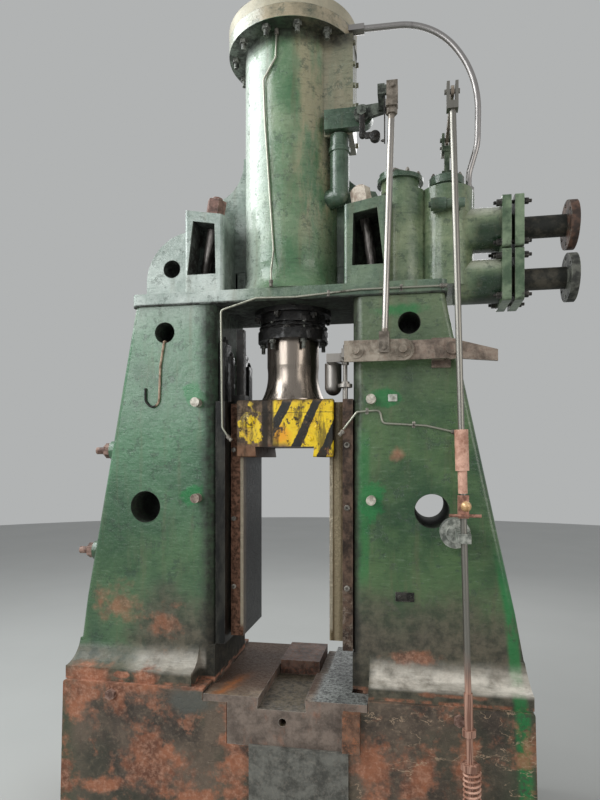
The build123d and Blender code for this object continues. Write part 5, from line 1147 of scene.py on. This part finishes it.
def piece(name, bm, finish, body="frame", sharp_deg=38):
    """Turns a finished bmesh into a piece that rides on a body."""
    bmesh.ops.recalc_face_normals(bm, faces=bm.faces)
    mesh = shape_of(bm, name)
    mesh.shade_smooth()
    mesh.set_sharp_from_angle(angle=math.radians(sharp_deg))
    mesh.materials.append(finish)
    made = bpy.data.objects.new(name, mesh)
    bpy.context.scene.collection.objects.link(made)
    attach(made, body)
    print("piece", name, len(mesh.polygons), "faces")
    return made


# %% [markdown]
# Nearly every fitting is made of two forms, a drum and a block. Their edges are bevelled,
# because no real edge is perfectly sharp and a bevel is what catches the light. The edges
# are taken in the mesh's own order, so each run bevels them in the same order.

# %% Drum and block
SAME_HEIGHT = 1e-6


def edges_between(bm, verts):
    """The edges that join some points to each other."""
    chosen = set(verts)
    return [e for e in bm.edges if all(v in chosen for v in e.verts)]


def soften(bm, edges, width):
    """Bevels edges in two steps."""
    bmesh.ops.bevel(
        bm, geom=edges, offset=width, offset_type="OFFSET", segments=2, profile=0.5,
        affect="EDGES", material=-1,
    )


def drum(bm, low_r, high_r, low, high, segments=24, edge=0.0):
    """A round or many-sided bar along Z, its upper rim bevelled."""
    made = bmesh.ops.create_cone(
        bm, cap_ends=True, cap_tris=False, segments=segments,
        radius1=low_r, radius2=high_r, depth=high - low,
    )["verts"]
    bmesh.ops.translate(bm, verts=made, vec=(0, 0, (low + high) / 2))
    if edge:
        around = edges_between(bm, made)
        soften(bm, [e for e in around if all(v.co.z > high - SAME_HEIGHT for v in e.verts)], edge)


def block(bm, low, high, edge=0.0):
    """A box between two corners, its edges bevelled."""
    made = bmesh.ops.create_cube(bm, size=1.0)["verts"]
    size = Vector(high) - Vector(low)
    bmesh.ops.scale(bm, verts=made, vec=size)
    bmesh.ops.translate(bm, verts=made, vec=(Vector(high) + Vector(low)) / 2)
    if edge:
        soften(bm, edges_between(bm, made), edge)


trial = bmesh.new()
drum(trial, 0.01, 0.01, 0.0, 0.02, 6, edge=0.001)
print("a six-sided drum with its rim bevelled has", len(trial.faces), "faces")
trial.free()

# %% [markdown]
# A stamp copies a small mesh into a larger one. The shape is made upright at the origin, so
# the stamp turns it until its Z lies along the wanted direction, gives it a turn of its own
# about that line, and moves its foot to the place. Left and right are the viewer's.

# %% Stamp and circle
UP, DOWN = (0, 0, 1), (0, 0, -1)
LEFT, RIGHT, FORWARD = (-1, 0, 0), (1, 0, 0), (0, -1, 0)


def stamp(bm, shape, foot, direction=UP, turn_deg=0.0, size=1.0):
    """Copies a small mesh into a larger one, its Z along a direction."""
    before = set(bm.verts)
    bm.from_mesh(shape)
    added = [vert for vert in bm.verts if vert not in before]
    turn = Vector(direction).to_track_quat("Z", "Y").to_matrix().to_4x4()
    spin = Matrix.Rotation(math.radians(turn_deg), 4, "Z")
    place = Matrix.Translation(foot) @ turn @ spin @ Matrix.Scale(size, 4)
    bmesh.ops.transform(bm, matrix=place, verts=added)


def on_circle(centre, radius, angle_deg):
    """A point on a level circle round a centre."""
    angle = math.radians(angle_deg)
    return Vector(centre) + Vector((math.cos(angle), math.sin(angle), 0)) * radius


print("a stamp's four main directions:", UP, LEFT, RIGHT, FORWARD)

# %% [markdown]
# A nut on a stud is three drums: a thin round washer, the six-sided nut with its chamfer,
# and the end of the stud with a rounded tip. The chamfer matters more than it seems. It is
# the bright ring that makes a nut read as metal from far away.

# %% The nut on its stud
def nut_on_stud(across=0.024, tall=0.018, stud_r=0.007, out=0.012, washer_r=0.016):
    bm = bmesh.new()
    drum(bm, washer_r, washer_r, 0.0, 0.003, 28, edge=0.0008)
    corner = across / math.sqrt(3)
    drum(bm, corner, corner, 0.003, 0.003 + tall, 6, edge=0.0022)
    drum(bm, stud_r, stud_r, 0.003 + tall * 0.5, 0.003 + tall + out, 16, edge=0.0018)
    return shape_of(bm)


nut_shape = nut_on_stud()
small_nut = nut_on_stud(0.017, 0.012, 0.005, 0.007, 0.011)
print("faces of the nut:", len(nut_shape.polygons))

# %% [markdown]
# Two bolts are turned by tools that go into their heads. The socket bolt's hollow is an
# inset of its top face that is then sunk. The slot of the flat bolt is cut by two planes,
# and the strip between them is pushed down, which leaves the walls of the slot upright.

# %% Socket bolt and slotted bolt
SLOT_HALF = 0.0016
SLOT_DEEP = 0.0025


def socket_bolt(head_r=0.012, tall=0.012):
    """A round head whose top face is inset and then sunk."""
    bm = bmesh.new()
    drum(bm, head_r, head_r, 0.0, tall, 24, edge=0.001)
    top = max(bm.faces, key=lambda face: face.calc_center_median().z)
    bmesh.ops.inset_region(bm, faces=[top], thickness=head_r * 0.4, depth=0.0)
    sunk = bmesh.ops.extrude_discrete_faces(bm, faces=[top])["faces"]
    bmesh.ops.translate(bm, verts=sunk[0].verts[:], vec=(0, 0, -tall * 0.55))
    return shape_of(bm)


def flat_bolt(head_r=0.013, tall=0.004):
    """A low domed head with a screwdriver slot cut across it."""
    bm = bmesh.new()
    drum(bm, head_r, head_r * 0.86, 0.0, tall, 24, edge=0.0012)
    for side in (-1, 1):
        bmesh.ops.bisect_plane(
            bm, geom=bm.verts[:] + bm.edges[:] + bm.faces[:],
            plane_co=(0, side * SLOT_HALF, 0), plane_no=(0, 1, 0),
        )
    strip = [f for f in bm.faces if f.normal.z > 0.9 and abs(f.calc_center_median().y) < SLOT_HALF]
    deep = bmesh.ops.extrude_face_region(bm, geom=strip)
    bmesh.ops.delete(bm, geom=strip, context="FACES_ONLY")
    down = [v for v in deep["geom"] if isinstance(v, bmesh.types.BMVert)]
    bmesh.ops.translate(bm, verts=down, vec=(0, 0, -SLOT_DEEP))
    return shape_of(bm)


socket_shape = socket_bolt()
slotted_shape = flat_bolt()
print("faces of the bolts:", len(socket_shape.polygons), len(slotted_shape.polygons))

# %% [markdown]
# Stamped round a circle, the small nut holds the chest's caps down, and a six-sided plug
# closes the larger cap. Each nut is turned by the angle of its place, because no fitter
# stops them all at the same angle.

# %% Nuts of the chest caps
CAP, CAP_NUTS_R = (0.492, -0.07, 2.8233), 0.084
SMALL_CAP, SMALL_CAP_NUTS_R = (0.690, -0.06, 2.8153), 0.059
LID = (0.466, -0.07, 2.8473)
caps = bmesh.new()
for angle in (-112, -67, -22, 22, 67, 112):
    stamp(caps, small_nut, on_circle(CAP, CAP_NUTS_R, angle), turn_deg=angle)
for angle in (20, 160, 200, 340):
    stamp(caps, small_nut, on_circle(SMALL_CAP, SMALL_CAP_NUTS_R, angle), turn_deg=angle)
plug = bmesh.new()
drum(plug, 0.030, 0.030, 0.0, 0.008, 28, edge=0.001)
drum(plug, 0.0225, 0.0225, 0.008, 0.030, 6, edge=0.003)
stamp(caps, shape_of(plug), LID, turn_deg=12)
piece("cap_nuts", caps, worn_bolt)

# %% [markdown]
# The large nut pulls each pair of square flanges together. Both faces of a pair get their
# nuts, four to a flange, and a plain length of bolt shows in the gap between.

# %% Nuts of the square flanges
LINE_Y = -0.06
LINE_HEIGHTS = (2.585, 2.365)
BOLT_OUT = 0.082
LEFT_FACE_X, GAP_X, RIGHT_FACE_X = 0.9083, 0.9433, 0.9943
gap_bolt = bmesh.new()
drum(gap_bolt, 0.0075, 0.0075, 0.0, 0.016, 12)
gap_shape = shape_of(gap_bolt)
flanges = bmesh.new()
for line_z in LINE_HEIGHTS:
    for dy in (-BOLT_OUT, BOLT_OUT):
        for dz in (-BOLT_OUT, BOLT_OUT):
            y, z = LINE_Y + dy, line_z + dz
            stamp(flanges, nut_shape, (LEFT_FACE_X, y, z), LEFT, 10 + 400 * dz)
            stamp(flanges, nut_shape, (RIGHT_FACE_X, y, z), RIGHT, 25 + 300 * dy)
            stamp(flanges, gap_shape, (GAP_X, y, z), RIGHT)
piece("flange_nuts", flanges, dark_bolt)

# %% [markdown]
# The return spring of the throttle rod is a plain sleeve in the CAD model. The real one is a coil. A coil is
# a spin that also climbs: a small ring of wire section is spun round the axis, and each step is lifted a
# little. The piece stands for the sleeve.

# %% The coil spring
def coil(centre, low, high, radius, wire_r, turns, steps=22):
    bm = bmesh.new()
    ring = bmesh.ops.create_circle(bm, segments=8, radius=wire_r)["verts"]
    upright = Matrix.Rotation(math.radians(90), 4, "X")
    bmesh.ops.transform(bm, matrix=Matrix.Translation((radius, 0, wire_r)) @ upright, verts=ring)
    rise = (high - low - 2 * wire_r) / (turns * steps)
    bmesh.ops.spin(
        bm, geom=bm.edges[:], cent=(0, 0, 0), axis=UP, dvec=(0, 0, rise),
        angle=turns * 2 * math.pi, steps=turns * steps, use_merge=False, use_duplicate=False,
    )
    ends = [e for e in bm.edges if len(e.link_faces) == 1]
    bmesh.ops.holes_fill(bm, edges=ends, sides=8)
    bmesh.ops.translate(bm, verts=bm.verts[:], vec=(centre[0], centre[1], low))
    return bm


spring_low, spring_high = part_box("return_spring")
spring_x = (spring_low[0] + spring_high[0]) / 2
spring_y = (spring_low[1] + spring_high[1]) / 2
spring = piece(
    "return_coil",
    coil((spring_x, spring_y), spring_low[2], spring_high[2], 0.0295, 0.0042, 13),
    pink_rust,
)
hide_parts("return_spring")
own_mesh(spring)

# %% [markdown]
# The ram has a round plug in a low collar on its left and two slotted bolts on its right.
# They move with the ram, so they ride on its body and not on the frame.

# %% Fittings of the ram
RAM_FACE_Y = -0.1995
ram_bits = bmesh.new()
collar = bmesh.new()
drum(collar, 0.031, 0.030, 0.0, 0.006, 32, edge=0.002)
drum(collar, 0.019, 0.018, 0.006, 0.012, 24, edge=0.003)
stamp(ram_bits, shape_of(collar), (-0.158, RAM_FACE_Y, 1.771), FORWARD)
for x, z, turn in ((0.145, 1.741, 30), (0.117, 1.694, 110)):
    stamp(ram_bits, slotted_shape, (x, RAM_FACE_Y, z), FORWARD, turn)
piece("ram_bolts", ram_bits, ram_paint, "ram_body")

# %% [markdown]
# Socket screws hold the right gib and the left guide, three to a side at uneven heights.
# Those of the guide are a little smaller. The turn follows the height, so no two of them
# catch the light alike.

# %% Screws of gib and guide
GIB_FACE_Y = -0.2315
screws = bmesh.new()
for z in (1.663, 1.40, 1.063):
    stamp(screws, socket_shape, (0.276, GIB_FACE_Y, z), FORWARD, 200 * z)
for z in (1.645, 1.34, 1.038):
    stamp(screws, socket_shape, (-0.236, GUIDE_FACE_Y, z), FORWARD, 200 * z, 0.85)
piece("guide_screws", screws, worn_bolt)

# %% [markdown]
# Two small plates sit on the right column: a pale one with a nut near the top, and low
# down a dark tag on two slotted screws. Both are plain blocks, a few millimetres thick,
# whose backs touch the face of the column.

# %% Washer plate and tag
COLUMN_FACE_Y = -0.2395
PLATE_FRONT_Y, TAG_FRONT_Y = -0.2475, -0.2445
plate = bmesh.new()
block(plate, (0.446, PLATE_FRONT_Y, 1.841), (0.484, COLUMN_FACE_Y, 1.871), 0.003)
stamp(plate, small_nut, (0.465, PLATE_FRONT_Y, 1.856), FORWARD, 15, 0.7)
piece("washer_plate", plate, pale_plate)

tag = bmesh.new()
block(tag, (0.476, TAG_FRONT_Y, 1.019), (0.552, COLUMN_FACE_Y, 1.057), 0.0015)
for x in (0.494, 0.534):
    stamp(tag, slotted_shape, (x, TAG_FRONT_Y, 1.038), FORWARD, 40, 0.6)
piece("column_tag", tag, dark_bolt)

# %% [markdown]
# The tall bolts behind the ram draw the left gib up. Nobody sees more of them than black
# shapes, so two bars with a nut on top are enough, once in front and once behind.

# %% Heads of the gib bolts
GIB_TOP_Z, TALL_Z, SHORT_Z = 1.8565, 2.12, 2.06
heads = bmesh.new()
for y in (-0.20, 0.10):
    block(heads, (-0.296, y, GIB_TOP_Z), (-0.268, y + 0.10, TALL_Z), 0.004)
    block(heads, (-0.262, y + 0.02, GIB_TOP_Z), (-0.244, y + 0.08, SHORT_Z), 0.003)
    stamp(heads, nut_shape, (-0.282, y + 0.05, TALL_Z), UP, 20)
    stamp(heads, small_nut, (-0.253, y + 0.05, SHORT_Z), UP, 5)
piece("gib_heads", heads, grease)

# %% [markdown]
# The gland is drawn up by nuts on its studs, and the neck above it hangs on bolts of its
# own. Both rings of nuts sit in the black oil, and only their points catch the light.

# %% Nuts of the gland
gland_nut = nut_on_stud(0.031, 0.017, 0.009, 0.002, 0.0)
neck_bolt = nut_on_stud(0.027, 0.016, 0.008, 0.010, 0.0)
GLAND_Z, GLAND_NUTS_R = 2.1853, 0.142
NECK_Z, NECK_BOLTS_R = 2.2577, 0.163
gland_bits = bmesh.new()
for step in range(6):
    foot = on_circle((0, 0, GLAND_Z), GLAND_NUTS_R, 30 + 60 * step)
    stamp(gland_bits, gland_nut, foot, UP, 17 * step)
    foot = on_circle((0, 0, NECK_Z), NECK_BOLTS_R, 15 + 60 * step)
    stamp(gland_bits, neck_bolt, foot, DOWN, 23 * step)
piece("gland_nuts", gland_bits, dark_bolt)

# %% [markdown]
# Packing is plaited rope pushed round the rod and squeezed by the gland. Some of it always
# swells out of the gap, soaked in black oil. Three turns of a ring do, once their points
# have been pushed about by a noise. The noise has a seed, because without one Blender
# starts it at another place on every run.

# %% Packing that swells out of the gland
PACKING_SEED = 8


def packing(rings, tube_r, amount):
    bm = bmesh.new()
    for ring_r, z in rings:
        before = set(bm.verts)
        section = bmesh.ops.create_circle(bm, segments=12, radius=tube_r)["verts"]
        upright = Matrix.Rotation(math.radians(90), 4, "X")
        bmesh.ops.transform(bm, matrix=Matrix.Translation((ring_r, 0, z)) @ upright, verts=section)
        bmesh.ops.spin(
            bm, geom=edges_between(bm, section), cent=(0, 0, 0), axis=UP, angle=2 * math.pi,
            steps=96, use_merge=True, use_duplicate=False,
        )
        for vert in [one for one in bm.verts if one not in before]:
            swell = noise.noise_vector(vert.co * 38) * amount
            vert.co += swell + noise.noise_vector(vert.co * 120) * amount * 0.4
    return bm


noise.seed_set(PACKING_SEED)
rope = packing(((0.146, 2.192), (0.152, 2.202), (0.143, 2.210)), 0.0065, 0.006)
piece("gland_packing", rope, grease, sharp_deg=80)

# %% [markdown]
# Thin oil tubes need their unions and clips. Without them a tube seems to be drawn on the
# casting. A union is two small hexagons with a ring between, and a clip is a strap with a
# raised middle. Each union lies along its tube, so its direction stands beside its foot.

# %% Unions and clips of the oil tubes
CLIP_TUBE_R, CLIP_TUBE_UP = 0.0062, 0.0045
union = bmesh.new()
drum(union, 0.0095, 0.0095, 0.0, 0.013, 6, edge=0.0015)
drum(union, 0.0070, 0.0070, 0.013, 0.018, 16)
drum(union, 0.0085, 0.0085, 0.018, 0.027, 6, edge=0.0012)
union_shape = shape_of(union)
clip = bmesh.new()
block(clip, (-0.006, -0.013, 0.0), (0.006, 0.013, 0.0015), 0.0005)
bridge = bmesh.ops.create_cone(
    clip, cap_ends=True, cap_tris=False, segments=16,
    radius1=CLIP_TUBE_R, radius2=CLIP_TUBE_R, depth=0.010,
)["verts"]
across = Matrix.Rotation(math.radians(90), 3, "Y")
bmesh.ops.rotate(clip, verts=bridge, cent=(0, 0, 0), matrix=across)
bmesh.ops.translate(clip, verts=bridge, vec=(0, 0, CLIP_TUBE_UP))
clip_shape = shape_of(clip)

tubes = bmesh.new()
for foot, along in (
    ((0.262, -0.2445, 1.722), (-0.7, 0, -0.7)), ((0.700, -0.2445, 1.716), (1, 0, -0.2)),
    ((0.655, -0.2545, 2.304), (1, 0, 0)), ((-0.240, -0.2545, 1.703), (1, 0, -1)),
    ((-0.028, -0.2262, 3.425), (0, 0, 1)), ((-0.044, -0.2635, 2.362), (0, 0, -1)),
):
    stamp(tubes, union_shape, foot, along)
for foot in (
    (0.50, -0.2502, 2.305), (0.20, -0.2502, 2.298), (0.36, -0.2402, 1.803), (0.55, -0.2402, 1.7445),
):
    stamp(tubes, clip_shape, foot, FORWARD)
piece("tube_unions", tubes, worn_bolt)

# %% [markdown]
# A black arm with a large and a small roller hangs from the rocker's hub. It is bolted to
# the rocker and swings with it, so it rides on the rocker's body.

# %% Arm and rollers on the rocker
ARM_FRONT_Y = -0.222
arm = bmesh.new()
block(arm, (0.326, -0.2345, 2.955), (0.350, -0.2225, 3.045), 0.003)
block(arm, (0.350, -0.2345, 2.940), (0.396, -0.2225, 2.966), 0.003)
roller = bmesh.new()
drum(roller, 0.022, 0.022, -0.010, 0.016, 28, edge=0.003)
drum(roller, 0.008, 0.008, -0.016, 0.024, 12, edge=0.001)
roller_shape = shape_of(roller)
stamp(arm, roller_shape, (0.392, ARM_FRONT_Y, 2.948), FORWARD)
stamp(arm, roller_shape, (0.340, ARM_FRONT_Y, 2.962), FORWARD, 0, 0.7)
piece("rocker_arm", arm, black_steel, "rocker_body")

# %% [markdown]
# A flat strip stands beside the fork of the valve rod, held by a short peg. It goes up and
# down with the rod. Its top stays below the rocker, which would touch it as the lever rises.

# %% Strip beside the fork
STRIP_LEFT_X = 0.4335
strip = bmesh.new()
block(strip, (STRIP_LEFT_X, -0.3375, 2.862), (0.4385, -0.3225, 3.040), 0.001)
stamp(strip, small_nut, (STRIP_LEFT_X, -0.330, 2.872), LEFT, 0, 0.6)
block(strip, (0.436, -0.3345, 2.990), (0.4490, -0.3255, 3.002), 0.001)
piece("fork_strip", strip, black_steel, "valve_rod_body")

# %% [markdown]
# A short stepped shaft lies across the front of the valve chest. Two blocks carry it, and
# they reach back into the casting so that nothing hangs in the air.

# %% Shaft across the chest
BLOCK_FRONT_Y, BLOCK_BACK_Y = -0.205, -0.140
boss = bmesh.new()
shaft = bmesh.new()
drum(shaft, 0.026, 0.026, 0.0, 0.060, 28, edge=0.002)
drum(shaft, 0.019, 0.019, 0.060, 0.136, 24, edge=0.002)
drum(shaft, 0.012, 0.012, -0.010, 0.0, 16)
stamp(boss, shape_of(shaft), (0.620, BLOCK_FRONT_Y, 2.655), RIGHT)
block(boss, (0.630, BLOCK_FRONT_Y, 2.636), (0.672, BLOCK_BACK_Y, 2.674), 0.004)
block(boss, (0.716, BLOCK_FRONT_Y, 2.640), (0.742, BLOCK_BACK_Y, 2.670), 0.004)
piece("chest_shaft", boss, small_paint)

# %% [markdown]
# The cylinder is drawn down between the two wings of the top casting, and the slit that is
# left at its foot is closed by packing blocks. Two plain blocks do. Each reaches a little
# into the castings on both of its sides, so that no light shows through the slit.

# %% Packing blocks at the foot of the cylinder
SLIT_IN, SLIT_OUT = 0.212, 0.262
SLIT_HALF = 0.060
SLIT_FOOT, SLIT_TOP = 2.336, 2.466
shims = bmesh.new()
for side in (-1, 1):
    near, far = sorted((side * SLIT_IN, side * SLIT_OUT))
    block(shims, (near, -SLIT_HALF, SLIT_FOOT), (far, SLIT_HALF, SLIT_TOP), 0.002)
piece("wing_shims", shims, top_paint)

# %% [markdown]
# The floor is a stage and not part of the hammer. It is one wide disc that keeps the
# hammer's shadow, and that shadow tells the eye how heavily the bed stands.

# %% The floor
FLOOR_R = 14
ground = bmesh.new()
bmesh.ops.create_circle(ground, cap_ends=True, segments=64, radius=FLOOR_R)
floor_mesh = shape_of(ground, "floor")
floor = bpy.data.objects.new("floor", floor_mesh)
bpy.context.scene.collection.objects.link(floor)
plain = Finish("floor_plain")
floor_tint = plain.mix(shade("#a5a6a3"), shade("#b0b1ae"), plain.noise(0.8, 3))
floor_mesh.materials.append(plain.finish(floor_tint, 0.8))
print("the floor is", 2 * FLOOR_R, "m across")

# %% [markdown]
# Fittings should sit inside the machine's own outline.
